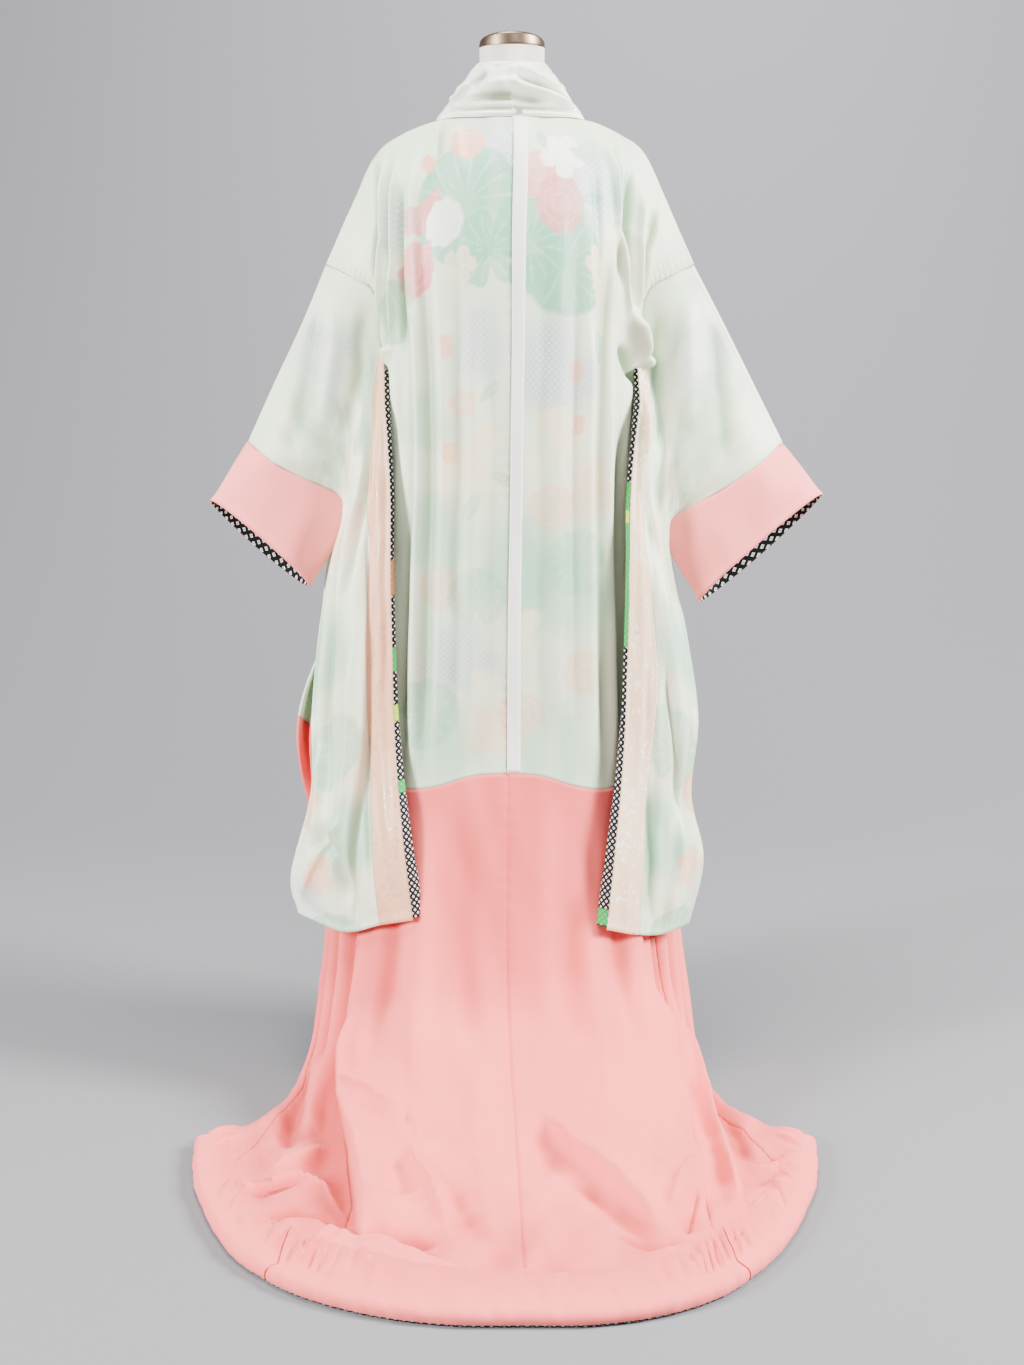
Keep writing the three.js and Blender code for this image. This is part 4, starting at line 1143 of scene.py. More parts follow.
# Folds of the body and the train, each row the values of a Fold; left is negative.
BODY_FOLDS = tuple(Fold(*row) for row in (
    # back and shoulders
    (((-3.95, 0), (-4.2, 1.1), (-5.6, 2.1)), 6, -5),
    (((-3.75, 0.15), (-4.1, 1.5), (-5.9, 2.9)), 6, 5),
    (((-3.4, 0.25), (-4, 1.9), (-5.8, 3.5)), 6, -6),
    (((-3.2, 0.3), (-3.7, 1.7), (-4.9, 3.4)), 6, 5),
    (((-3.1, 0.8), (-3.5, 2.1), (-4.2, 3.4)), 6, -6),
    (((-2.6, 0.3), (-2.8, 1.6), (-2.9, 3.2)), 9, 4),
    (((-1.9, 0.05), (-1.95, 0.9)), 5, -3.5, True),
    (((-1.5, 0.1), (-1.3, 1.2)), 8, 1.8),
    (((2.3, 0.15), (2.8, 0.8), (3.2, 1.5), (4.6, 2.9)), 7, 6),
    (((2.75, 0.25), (3.15, 1.2), (3.6, 2.4)), 6, -5),
    (((3.4, 0.5), (3.5, 1.5), (4.4, 2.6)), 7, -6),
    (((3.9, 0.6), (4.1, 1.5), (5.2, 2.6)), 7, 5),
    (((4.6, 0.5), (4.8, 1.5), (5.8, 2.4)), 6, -4),
    (((2.2, 0.8), (2.5, 2), (2.6, 3.4)), 8, -3),
    (((-2.6, 1.4), (-2.75, 3), (-2.6, 5.4), (-2.5, 6.9)), 10.4, -3.4),
    (((-3.1, 1.2), (-3.25, 3), (-3.1, 5.6), (-2.9, 7.1)), 9.1, 2.9),
    (((-3.6, 2.4), (-3.7, 4), (-3.6, 5.8), (-3.4, 7.1)), 9.1, -2.9),
    (((-2.1, 1), (-2.2, 3), (-2.1, 5.6), (-2.1, 6.8)), 9.1, 1.7),
    (((-1.5, 1.6), (-1.6, 3.4), (-1.6, 5.6), (-1.5, 6.8)), 10.4, -1.4),
    (((-1.1, 2.2), (-1.1, 5.7), (-1, 6.9)), 10.4, 1),
    (((-0.55, 2.6), (-0.55, 6.8)), 7.8, -0.7),
    (((0.95, 1.8), (1, 5.7), (1, 6.9)), 10.4, -1.1),
    (((1.4, 1.2), (1.5, 3.2), (1.55, 5.6), (1.55, 6.9)), 9.1, 1.4),
    (((1.9, 1.6), (2, 3.4), (2.1, 5.6), (2.1, 6.9)), 7.8, -1.6),
    (((2.3, 0.9), (2.5, 2.6), (2.65, 5.7), (2.6, 6.9)), 9.1, 2.9),
    (((2.9, 1.6), (3, 3), (3.15, 5.8), (3.1, 7)), 9.1, -3.1),
    (((3.5, 2.6), (3.7, 5.8), (3.6, 7)), 10.4, 2.9),
    (((4.4, 4.2), (4.3, 5.8), (4.2, 7)), 11.7, -3.1),
    (((-4.5, 4.2), (-4.3, 5.8), (-4.2, 7)), 11.7, 3.1),
    # loose cloth under the armholes
    (((4.4, 2.6), (5.2, 3.1), (6.1, 3.5)), 13, 13),
    (((4, 3.2), (5, 3.7), (6, 3.95)), 8, -7),
    (((-5, 3.1), (-5.7, 3.5)), 10, 6),
    # skirt
    (((-3.6, 7.2), (-3.9, 8.2), (-4.3, 9.4)), 16, -6),
    (((-2.6, 7.1), (-2.7, 8.6), (-2.4, 9.5)), 22, 7),
    (((-1.3, 7.1), (-1.2, 8.3), (-0.9, 9.3)), 18, -3.5),
    (((1.2, 7.1), (1.3, 8.3), (1, 9.3)), 20, 4),
    (((2.1, 7.6), (2.2, 8.4), (2, 9)), 16, -4),
    (((2.7, 7.8), (2.8, 8.9), (2.7, 9.5)), 16, 6),
    (((3.6, 7.1), (3.9, 8.2), (4.1, 9.2)), 15, -6),
    (((4.8, 7.4), (5, 8.4), (5.2, 9.4)), 15, 6),
    (((-5.2, 7.3), (-5.3, 8.3), (-5.6, 9.2)), 14, 6),
    (((2.7, 8.97), (2.5, 9.5), (1.6, 9.75)), 8, -4, True),
    # left of the train: the raised edge, the deep valley beyond it and the creases that cross it
    (((-5.3, 8.6), (-5.75, 9.3), (-5.6, 9.9), (-4.8, 10.35), (-4.1, 11), (-3.7, 11.42)), 6, 22, False,
     (1, 0, 0), 120),
    (((-6.9, 9.3), (-6.4, 10.1), (-5.5, 10.7), (-4.7, 11.1), (-4.1, 11.4)), 26, -9),
    (((-7.6, 9.4), (-7.2, 9.9), (-6.6, 10.45)), 14, 9),
    (((-8.8, 9.7), (-8.1, 10.35), (-7.3, 10.85)), 12, -9),
    (((-5.3, 10.25), (-6.2, 10.55), (-6.6, 10.82), (-7.5, 11.2)), 6, 5, True),
    (((-4.3, 11.2), (-5.4, 10.95), (-6.4, 11.05), (-7.5, 11.4), (-8.7, 11.75)), 8, 9, True),
    (((-4.2, 11.3), (-5.2, 11.3), (-6.2, 11.45), (-7.2, 11.75)), 7, -7, True),
    (((-4.3, 11.35), (-4.9, 11.6), (-5.4, 11.9)), 9, 8, True),
    (((-6.3, 11.1), (-7.1, 11.35), (-7.9, 11.6)), 8, -7, True),
    (((-4.4, 11.3), (-3.9, 11.42), (-3, 11.4), (-2.1, 11.45), (-1.2, 11.58)), 6, 9, False,
     (0, -1, 0), 60),
    (((-4, 11.6), (-2.8, 11.7), (-1.4, 11.8)), 14, 6),
    (((-3.7, 11.25), (-2.8, 11.28), (-1.8, 11.3)), 12, -8),
    (((-4, 11), (-3.3, 10.95), (-2.2, 10.75)), 7, 6, True),
    (((-2.7, 10.15), (-2.55, 10.45), (-2.2, 10.65), (-1.8, 11), (-1.5, 11.2)), 7, 9, True),
    (((-2.1, 9.8), (-2.6, 10.12), (-2.95, 9.7)), 8, -6, True),
    (((-3.4, 10.1), (-3.1, 10.6), (-2.7, 11)), 22, -6),
    (((-5.6, 9.65), (-4.2, 9.6), (-3, 9.72)), 9, 5, True),
    (((-4.8, 9.9), (-3.6, 9.95)), 14, -4),
    (((-1.9, 10.6), (-1.2, 10.9), (-0.6, 11.3)), 15, -4),
    # right of the train
    (((5.3, 8.3), (6, 9.2), (6.3, 9.7), (6.1, 10.25), (5.9, 10.75), (5.7, 11.15), (5.3, 11.5)), 6, 20,
     False, (-1, 0, 0), 110),
    (((6.9, 9.3), (7.1, 9.9), (6.9, 10.5), (6.6, 11), (6.3, 11.4)), 12, -8),
    (((7.4, 8.6), (8.1, 9.4), (8.2, 10), (7.6, 10.7), (7.3, 11.1), (7, 11.6)), 6, 12, False,
     (-1, 0, 0), 50),
    (((8.8, 9.7), (8.9, 10.3), (8.4, 10.8), (8, 11.2)), 12, -8),
    (((0.7, 9.6), (1.3, 10.03), (2.1, 10.38), (3, 10.9), (3.7, 11.35)), 8, 15, False,
     (1, 0.3, 0), 60),
    (((0.3, 9.6), (0.9, 10.1), (1.6, 10.5), (2.5, 11), (3.4, 11.42)), 28, -8),
    (((1.3, 10.6), (2.2, 11), (3, 11.45)), 15, 6),
    (((2.2, 11.2), (3.2, 11.42), (4.4, 11.5)), 9, -8, True),
    (((4, 11.25), (4.7, 11), (5.7, 10.95)), 8, 8, True),
    (((4.4, 11.45), (4.9, 11.3), (5.3, 11.2)), 9, -9, True),
    (((5.2, 11.6), (4.6, 11.75), (4.1, 11.9)), 9, 7),
    (((7.2, 11.3), (7.7, 11.43), (8.6, 11.6), (9.1, 11.9)), 5, -4, True),
    (((7.9, 11.18), (8.6, 11.5), (9.9, 11.8)), 8, 6, True),
    (((6.9, 11.62), (8, 11.7), (8.8, 11.9)), 9, 6, True),
    (((5.4, 11.8), (6.7, 11.75), (8, 11.88)), 8, -5, True),
    (((0.2, 11.5), (1.6, 11.68), (2.9, 11.8), (4.3, 11.85)), 9, -4, True),
    (((0.3, 9.2), (0.4, 10.4), (0.9, 11.5)), 18, 4),
    (((-0.9, 8.8), (-0.9, 10), (-0.6, 11.3)), 18, 5),
))

# Where the side seam runs: section, then place across on the left and on the right.
SIDE_SEAMS = {
    Side.LEFT: ((0, 6), (7, 6), (8, 5.6), (8.95, 6), (9.6, 6), (9.95, 5.7), (10.35, 5),
                (11, 4.3), (11.5, 4.3), (12, 6)),
    Side.RIGHT: ((0, 6), (7, 6), (8.2, 6.6), (8.8, 6.6), (9.5, 6.5), (10.3, 6.2), (11, 5.9),
                 (11.5, 5.6), (12, 6)),
}


def above_floor(points: Array) -> Array:
    """Points lifted where they would sink: at least 3 mm up, and a little more with the height."""
    points[..., 2] = np.maximum(points[..., 2], 3.0 + 0.12 * np.clip(points[..., 2], -30, 10))
    return points


@dataclass
class Body:
    """The body of the garment: twelve panels, their folds, the centre strip and the hem."""
    finishes: Finishes
    fine_steps: tuple = (2.4, 2.4, 4.6)        # grid steps of the printed back panels, mm
    skirt_steps: tuple = (5.0, 5.0, 5.0)
    overlap_steps: tuple = (6.0, 6.0, 6.0)
    hidden_steps: tuple = (7.0, 7.0, 7.0)
    print_row: float = 2.6
    gain: float = 1.5             # of all fold heights
    mint_gain: float = 0.8        # more of it above the pink
    strip_width: float = 19.0
    seam_depth: float = 1.3
    lines: dict = field(default_factory=dict)

    def __post_init__(self) -> None:
        """Puts every fold's line in space once."""
        self.lines = {fold: dense_line(fold.path, body_point) for fold in BODY_FOLDS}

    def drape(self, points: Array, across: Array, down: Array) -> Array:
        """Outward height of folds and waves at points of the body.

        The folds are bells along their lines; the waves are sines across the cloth that grow
        down from the shoulders and die out on the train. At the hem the cloth rises onto the
        padded roll.

        Args:
            points: (rows, columns, 3) points in millimetres.
            across: signed place across at each point.
            down: section at each point.

        Returns:
            Heights in millimetres.
        """
        flat = points.reshape(-1, 3)
        total = np.zeros(len(flat))
        for fold, line in self.lines.items():
            margin = 3 * (fold.reach if any(fold.raised) else fold.width)
            low, high = line.min(axis=0) - margin, line.max(axis=0) + margin
            near = np.all((flat > low) & (flat < high), axis=1)
            if near.any():
                total[near] += fold_height(flat[near], line, fold)
        heights = total.reshape(across.shape)
        grow = smooth(down, 1.5, 4.0) * (1 - smooth(down, 8.5, 10.5))
        side_waves = smooth(np.abs(across), 4.0, 6.5) * grow
        heights += 5.0 * side_waves * np.sin(2 * np.pi * 0.8 * np.abs(across) + 0.5 * down)
        train = smooth(down, 9.3, 10.4)
        edge = smooth(down, 11.45, 12.0)
        heights *= (self.gain + self.mint_gain * (1 - smooth(down, 6.6, 7.4))) * (1 - 0.75 * edge)
        heights += 5.0 * edge
        mm_across = points[..., 0]
        mm_down = -points[..., 1] - points[..., 2]
        heights += 0.6 * ripple(mm_across, mm_down, 11, (60.0, 170.0), 1.0)
        heights += train * ripple(mm_across, mm_down, 12, (95.0, 110.0), 2.2)
        heights += train * ripple(mm_across, mm_down, 13, (34.0, 48.0), 0.7)
        return heights

    def outer(self, across: Array, down: Array) -> Array:
        """Points of the lining's outer face, kept above the floor.

        Args:
            across: signed place across at each point.
            down: section at each point.

        Returns:
            Points in millimetres.
        """
        base = body_point(across, down)
        height = self.drape(base, across, down)
        return above_floor(base + normals_of(body_point, across, down, -1) * (1.0 + height)[..., None])

    def panel(self, name: str, node: str, side: Side, limits: tuple, steps: tuple,
              finish: Material, tinted: bool) -> Piece:
        """One panel of the body.

        Args:
            name: name of the piece.
            node: CAD node that it replaces.
            side: side of the garment.
            limits: first and last place across, each a number or a function of down, then first
                and last section.
            steps: grid step across, and down in the panel's upper and lower part, in millimetres.
            finish: outer finish.
            tinted: whether the print shows on it.

        Returns:
            The panel.
        """
        start, end, top, bottom = limits
        value = lambda limit, down: limit(down) if callable(limit) else np.full_like(down, limit)
        middle = 0.5 * (value(start, np.array([top, bottom])) + value(end, np.array([top, bottom]))).mean()
        locate = lambda d: body_point(np.full_like(d, side.value * middle), d)
        split = min(self.print_row, bottom) if tinted else top
        downs = even_places(split, bottom, locate, steps[2])
        if split > top:
            downs = np.concatenate([even_places(top, split, locate, steps[1])[:-1], downs])
        low, high = value(start, downs), value(end, downs)
        ends = np.stack([low, high], axis=1)[:: max(1, len(downs) // 12)]
        rows = np.repeat(downs[:: max(1, len(downs) // 12), None], 2, axis=1)
        span = body_point(side.value * ends, rows)
        width = np.linalg.norm(span[:, 1] - span[:, 0], axis=1).max() * 1.08
        shares = np.linspace(0, 1, max(6, int(width / steps[0])) + 1)
        across = side.value * (low[:, None] + (high - low)[:, None] * shares)
        down = np.broadcast_to(downs[:, None], across.shape)
        base = body_point(across, down)
        normal = normals_of(body_point, across, down, -1)
        mm_across, mm_down = cloth_lengths(base)
        height = self.drape(base, across, down)
        edge = np.minimum(mm_across, mm_across[:, -1:] - mm_across)
        seam = (down > 0.4) * (1 - smooth(down, 11.8, 12.0))
        height -= self.seam_depth * np.exp(-edge / 2.2) * seam
        height += 0.4 * np.exp(-edge / 12.0) * np.sin(mm_down / 3.1 + 0.8 * np.sin(mm_down / 17.0)) * seam
        points = above_floor(base + normal * (1.0 + height)[..., None])
        tint = np.zeros(across.shape + (4,))
        # For the pink panels the tint's alpha is painted shade in the hollows of the folds, with random
        # clouds of darker tone; it fades out at the hem.
        clouds = np.clip(ripple(points[..., 0], down * 110, 14, (210.0, 260.0), 1.0, 6), -0.6, 1) * 0.14
        tint[..., 3] = np.clip(hollowness(height, -15, 10) + clouds, 0, 1) * (1 - smooth(down, 11.6, 12))
        if tinted:
            signed = side.value * (mm_across + (0 if start == 0 else 320))
            tint = paint_print(signed, mm_down, BACK_PRINT, MINT, 31 if side is Side.LEFT else 32)
            lower = smooth(mm_down, 492, 500)[..., None] * 0.16
            tint[..., :3] = tint[..., :3] * (1 - lower) + np.array(TINTS["sage"]) * lower
            # Painted shade: the mint silk's colours darken in the hollows of its folds.
            paint_hollow_shade(tint, height)
        piece = make_grid(name, points, (finish, self.finishes.face), -side.value, (mm_across, mm_down), tint)
        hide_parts(node)
        return piece

    def build(self) -> None:
        """Builds all panels and the strip."""
        mint, pink = self.finishes.mint, self.finishes.pink
        overlap = lambda down: OVERLAP_SEAM + 2 * np.clip((5.5 - down) / 3.4, 0, 1)
        for side in Side:
            rows, places = np.array(SIDE_SEAMS[side]).T
            seam = lambda down, rows=rows, places=places: np.interp(down, rows, places)
            fine, hidden, low = self.fine_steps, self.hidden_steps, self.skirt_steps
            panels = (
                ("lining_back", (0, SIDE_SEAM, 0, PINK_ROW), fine, mint, (0.30, 0.94)),
                ("lining_front", (SIDE_SEAM, overlap, 0, PINK_ROW), hidden, mint, (0.19, 0.95)),
                ("overlap_upper", (overlap, FRONT_EDGE, 2.3, PINK_ROW), hidden, mint, (0.05, 0.72)),
                ("skirt_lining_back", (0, seam, PINK_ROW, HEM_ROW), low, pink, (0.30, 0.93)),
                ("skirt_lining_front", (seam, OVERLAP_SEAM, PINK_ROW, HEM_ROW), low, pink, (0.15, 0.93)),
                ("overlap_lower", (OVERLAP_SEAM, FRONT_EDGE, PINK_ROW, HEM_ROW), self.overlap_steps, pink,
                 (0.07, 0.85)),
            )
            for stem, limits, steps, finish, flat in panels:
                name = f"{stem}_{side.label}"
                piece = self.panel(f"cloth_{name}", name, side, limits, steps, finish, finish is mint)
                LOG.info("%s: %d points", piece.name, len(piece.data.vertices))
        self.strip()

    def strip(self) -> Piece:
        """The ivory strip over the centre-back seam: a band of the back surface, moved out.

        Returns:
            The strip.
        """
        downs = even_places(0.02, PINK_ROW - 0.01, lambda d: body_point(0 * d, d), 5)
        width = self.strip_width / 49.0
        across = np.linspace(0.0, width, 9)[None, :] + 0 * downs[:, None]
        down = np.broadcast_to(downs[:, None], across.shape)
        base = body_point(across, down)
        height = self.drape(base, across, down)
        share = (across / width) * 2 - 1
        crown = 1.0 - 0.8 * np.abs(share) ** 6
        points = base + normals_of(body_point, across, down, -1) * (1.2 + height + 1.2 * crown)[..., None]
        rise = np.linspace(0.13, 0.012, 6)[:, None] + 0 * across[:1]
        band = Collar(self.finishes).point(across[:1] * 1.5 + 0 * rise, rise) + [0, -4.6, 0.6]
        points = np.concatenate([band, points])
        piece = make_grid("centre_back_strip", points, (self.finishes.strip,), -1, wall=1.0)
        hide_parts("seam_strip")
        return piece


@dataclass
class HemRoll:
    """The padded hem: a soft roll along the lower edge, with a band that lies on the lining."""
    body: Body
    radius: float = HEM_RADIUS
    step: float = 4.0
    band_start: float = 11.55
    rows: int = 10

    def edge(self, side: Side, front: bool) -> tuple[Array, Array, Array]:
        """One length of the lower edge.

        Args:
            side: side of the garment.
            front: whether it is the front length.

        Returns:
            Places along it, its points, and its outward directions on the floor.
        """
        low, high = (JUST_IN_FRONT, FRONT_EDGE) if front else (0.0, SIDE_SEAM)
        locate = lambda a: body_point(side.value * a, np.full_like(a, HEM_ROW))
        places = even_places(low, high, locate, self.step)
        along = locate(places + 0.1) - locate(places - 0.1)
        away = np.stack([along[:, 1], -along[:, 0], 0 * places], axis=-1) * side.value
        return places, locate(places), away / np.linalg.norm(away, axis=1, keepdims=True)

    def section(self, side: Side, front: bool) -> Array:
        """Points of one length, a closed section at each place along the edge.

        The section starts on the lining, climbs by a smooth step to the crest, goes round a
        circle that is cut flat underneath, and comes back under the band just above the lining.

        Args:
            side: side of the garment.
            front: whether it is the front length.

        Returns:
            (places, corners, 3) points in millimetres.
        """
        places, line, away = self.edge(side, front)
        travel = travelled(line)
        tips = np.maximum(smooth(travel[-1] - travel, -1, 14), 0.35) if front else np.ones_like(travel)
        swell = 1 + 0.05 * np.sin(places * 7.1) + 0.03 * np.sin(places * 17.3 + 1)
        radius = (self.radius * swell * tips)[:, None]
        share = np.linspace(0, 1, self.rows)[None, :]
        across = side.value * places[:, None] + 0 * share
        down = self.band_start + (HEM_ROW - self.band_start) * share + 0 * across
        lining = self.body.outer(across, down)
        crest = 1.86 * radius + 0.2
        climb = np.maximum(crest - lining[:, -1:, 2], 1.0) * share ** 1.6
        strength = 0.45 + smooth(np.abs(across), 2.5, 6.5)
        arc_length = places[:, None] * 62
        bunch = 0.25 + smooth(np.sin(arc_length / 37.0 + 2 * np.sin(arc_length / 83.0)), -0.2, 0.9)
        waves = np.sin(arc_length / 4.1 + 1.4 * np.sin(arc_length / 23.0))
        gathers = waves * smooth(share, 0.05, 0.4) * (1 - smooth(share, 0.7, 1.0))
        puckers = 2.2 * strength * bunch * gathers * tips[:, None]
        band = lining.copy()
        band[..., 2] += -0.8 + 1.4 * smooth(share, 0, 0.2) + climb + puckers
        angle = np.radians(np.linspace(84, -59, 15))[None, :]
        ridge = 1 + 0.05 * bunch * waves * np.clip(np.sin(angle), 0, 1)
        out = radius * ridge * np.cos(angle) + self.radius - 2.0
        up = np.maximum(radius * ridge * np.sin(angle), -radius * 0.86) + radius * 0.86 + 0.2
        flat = line[:, None, :] * [1, 1, 0]
        arc = flat + away[:, None, :] * out[..., None] + up[..., None] * [0, 0, 1]
        foot = flat + away[:, None, :] * 0.8 + [0, 0, 0.2]
        under = lining[:, ::-1].copy()
        under[..., 2] -= 1.0
        return np.concatenate([band, arc, foot, under], axis=1)

    def build(self) -> None:
        """Builds the four lengths, closed at both ends, with the face cloth under their outer edge."""
        finishes = self.body.finishes
        for side in Side:
            for front in (False, True):
                section = self.section(side, front)
                middles = 0.5 * (section + section[:, ::-1])
                points = np.concatenate([middles[:1], section, middles[-1:]])
                points = np.concatenate([points, points[:, :1]], axis=1)
                place = "front" if front else "back"
                tint = np.zeros(points.shape[:2] + (4,))
                # Painted shade on the band: as dark as the shaded skirt where it meets it, fading towards the
                # roll.
                tint[:, :self.rows, 3] = 0.4 * np.linspace(1, 0, self.rows)
                piece = make_grid(f"padded_hem_{place}_{side.label}", points, (finishes.pink, finishes.dots),
                                  -side.value, wall=0, tint=tint)
                column = np.tile(np.arange(points.shape[1] - 1), points.shape[0] - 1)
                below = (column >= self.rows + 11) & (column < self.rows + 16)
                piece.data.polygons.foreach_set("material_index", below.astype(np.int32))
                join_doubles(piece)
                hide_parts(f"hem_roll_{place}_{side.label}")
                LOG.info("%s", piece.name)


def join_doubles(piece: Piece, distance: float = 0.00002) -> None:
    """Merges points that lie together and turns the faces of a closed mesh outwards.

    Args:
        piece: the piece.
        distance: how near the points lie, in metres.
    """
    work = bmesh.new()
    work.from_mesh(piece.data)
    bmesh.ops.remove_doubles(work, verts=work.verts, dist=distance)
    bmesh.ops.recalc_face_normals(work, faces=work.faces)
    work.to_mesh(piece.data)
    work.free()
    piece.data.update()
    piece.data.set_sharp_from_angle(angle=math.radians(55))


# ---- Collar ----

# The collar's free edge: place along the collar, then (out, back, up).
COLLAR = np.array([
    [0, 0, 48.8, 1488], [1.5, 31, 41, 1488], [3, 50, 14, 1487], [4.5, 56, -24, 1462], [5.3, 46, -76, 1398],
    [7.6, 24, -138, 1266], [9.9, 20, -154, 1140], [12.2, 34, -160, 1028], [15, 76, -168, 905],
], float)
NECK_PLACES = 3.0
FRONT_STEP = 7 / 16


@dataclass
class Collar:
    """The collar: one band from a front edge round the neck to the other, and its press stud."""
    finishes: Finishes
    folds: tuple = (
        Fold(((-2.9, 0.25), (-2.5, 0.45), (-2.2, 0.62)), 6, 7, True),
        Fold(((-2.7, 0.62), (-2.1, 0.7), (-1.5, 0.84)), 6, -5),
        Fold(((-2.5, 0.3), (-1.2, 0.42), (0.2, 0.38), (1.6, 0.26)), 7, -5.5),
        Fold(((-1.9, 0.58), (-0.6, 0.6), (0.8, 0.52), (2, 0.36), (2.9, 0.16)), 7, 6.5),
        Fold(((0.3, 0.72), (1.3, 0.62), (2.2, 0.46), (2.9, 0.26)), 5, -5.5),
        Fold(((-1, 0.8), (0.4, 0.84), (1.6, 0.72), (2.6, 0.52)), 6, 5),
        Fold(((-3, 0.175), (0, 0.165), (3, 0.15)), 3, -4.5),
        Fold(((-3, 0.08), (0, 0.08), (3, 0.07)), 5, 2.5),
    )

    def point(self, place: Array, rise: Array) -> Array:
        """Point of the collar: straight from the seam to the free edge, with a bulge at the back.

        Args:
            place: signed place along the collar, 0 at the centre back, 15 at its lower end.
            rise: 0 at the seam to 1 at the free edge.

        Returns:
            Points in millimetres.
        """
        place, rise = np.broadcast_arrays(np.asarray(place, float), np.asarray(rise, float))
        far = np.clip(np.abs(place), 0, 15)
        sign = np.where(place < 0, -1.0, 1.0)
        seam = np.zeros(place.shape + (3,))
        for side in Side:
            mine = sign == side.value
            around = far * 2 / NECK_PLACES
            neck = body_point(side.value * np.sqrt(around ** 2 + 0.16), np.zeros_like(far))
            neck[..., 0] = body_point(side.value * around, np.zeros_like(far))[..., 0] * np.minimum(far, 1)
            row = np.maximum(far - NECK_PLACES, 0) * FRONT_STEP
            front = body_point(np.full_like(far, side.value * FRONT_EDGE), row)
            chosen = np.where((far < NECK_PLACES)[..., None], neck, front)
            seam = np.where(mine[..., None], chosen, seam)
        spot = np.interp(far, COLLAR[:, 0], np.arange(len(COLLAR)))
        free = line_at(COLLAR[:, 1:], spot)
        free = np.stack([sign * free[..., 0] - far / 15 * 4, -free[..., 1], free[..., 2]], axis=-1)
        bulge = 7 * np.sin(np.pi * rise) * np.maximum(0, 1 - far / 5)
        point = seam + (free - seam) * rise[..., None]
        point[..., 1] -= bulge
        return point

    def build(self) -> None:
        """Builds the band with its wrinkles, and dresses the stud."""
        front = np.linspace(3, 15, 90)[1:]
        places = np.concatenate([-front[::-1], np.linspace(-3, 3, 130), front])
        rises = np.linspace(0, 1, 44)
        rise, place = np.meshgrid(rises, places, indexing="ij")
        base = self.point(place, rise)
        normal = grid_normals(base, 1)
        height = 0 * place
        flat = base.reshape(-1, 3)
        for fold in self.folds:
            line = dense_line(fold.path, lambda a, d: self.point(a, d))
            height += fold_height(flat, line, fold).reshape(place.shape)
        mm_across, mm_up = place * 22, rise * 80
        wrinkles = ripple(mm_across, mm_up, 5, (46.0, 26.0), 1.5) * smooth(rise, 0.15, 0.35)
        height += np.clip(1 - np.abs(place) / 6, 0.25, 1) * wrinkles
        hug = 1 - smooth(rise, 0.86, 1.0) * (np.abs(place) < 3.4)
        points = base + normal * (1.2 + 2.0 * height * np.clip(hug, 0.1, 1))[..., None]
        tint = np.zeros(place.shape + (4,))
        # Painted shade: the satin turns khaki in the hollows of its folds.
        tint[..., 3] = 0.8 * hollowness(height, -6, 1.5)
        piece = make_grid("collar_band", points, (self.finishes.collar, self.finishes.collar), 1,
                          (mm_across, mm_up), tint, wall=1.6)
        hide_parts("collar")
        refinish("collar_snap", self.finishes.steel)
        LOG.info("collar_band")


# ---- Sleeves ----


@dataclass(frozen=True)
class SleeveLook:
    """What differs between the sleeves: the facing's inner limit by row, the folds, the patches."""
    facing: tuple[tuple[float, float], ...]
    folds: tuple[Fold, ...]
    patches: tuple[tuple[float, float, str], ...]


LEFT_LOOK = SleeveLook(
    facing=((2, 0.05), (2.2, 0.75), (3, 1.25), (3.5, 1.3), (4.3, 0.95), (5.5, 0.98),
            (7, 1), (9, 1.02)),
    folds=(
        Fold(((0.3, 0.35), (1, 1), (2, 1.5)), 14, 4),
        Fold(((0.6, 0.2), (1.6, 0.8), (2.8, 1.2)), 16, -4),
        Fold(((0.2, 1.2), (0.8, 1.7), (1.8, 1.9)), 12, -4),
        Fold(((0.9, 2.3), (1.3, 3.6), (1.5, 5)), 9, -6),
        Fold(((1.5, 2.4), (1.9, 3.8), (2, 5.4)), 12, 6),
        Fold(((1.2, 3.4), (1, 5.5), (1.05, 6.6), (1.4, 7.75), (1.7, 8.9)), 5, 12, False,
             (-1, 0, 0), 60),
        Fold(((1.2, 5.2), (1.7, 7.3), (2.1, 8.6)), 13, 7),
        Fold(((2.3, 4.2), (2.4, 6.2), (2.4, 7.4)), 10, -6),
        Fold(((2.9, 8.6), (2.45, 8), (2, 7.6), (1.6, 7.5)), 9, 9, True),
        Fold(((2.7, 7.8), (2.2, 7.55), (1.8, 7.9), (1.7, 8.6)), 12, -8),
        Fold(((2.6, 6.4), (2.5, 7.6)), 12, 6),
        Fold(((0.45, 2.4), (0.5, 5), (0.5, 8.8)), 8, 2.5),
        Fold(((1.05, 4.2), (1.05, 6.8), (1.1, 8.8)), 5, -3),
        Fold(((2, 0.3), (2.4, 1.2), (2.6, 1.8)), 13, 3),
    ),
    patches=((5, 5.4, "brown"), (5.9, 6.15, "green"), (6.5, 6.68, "lime"), (7.35, 7.5, "green")),
)
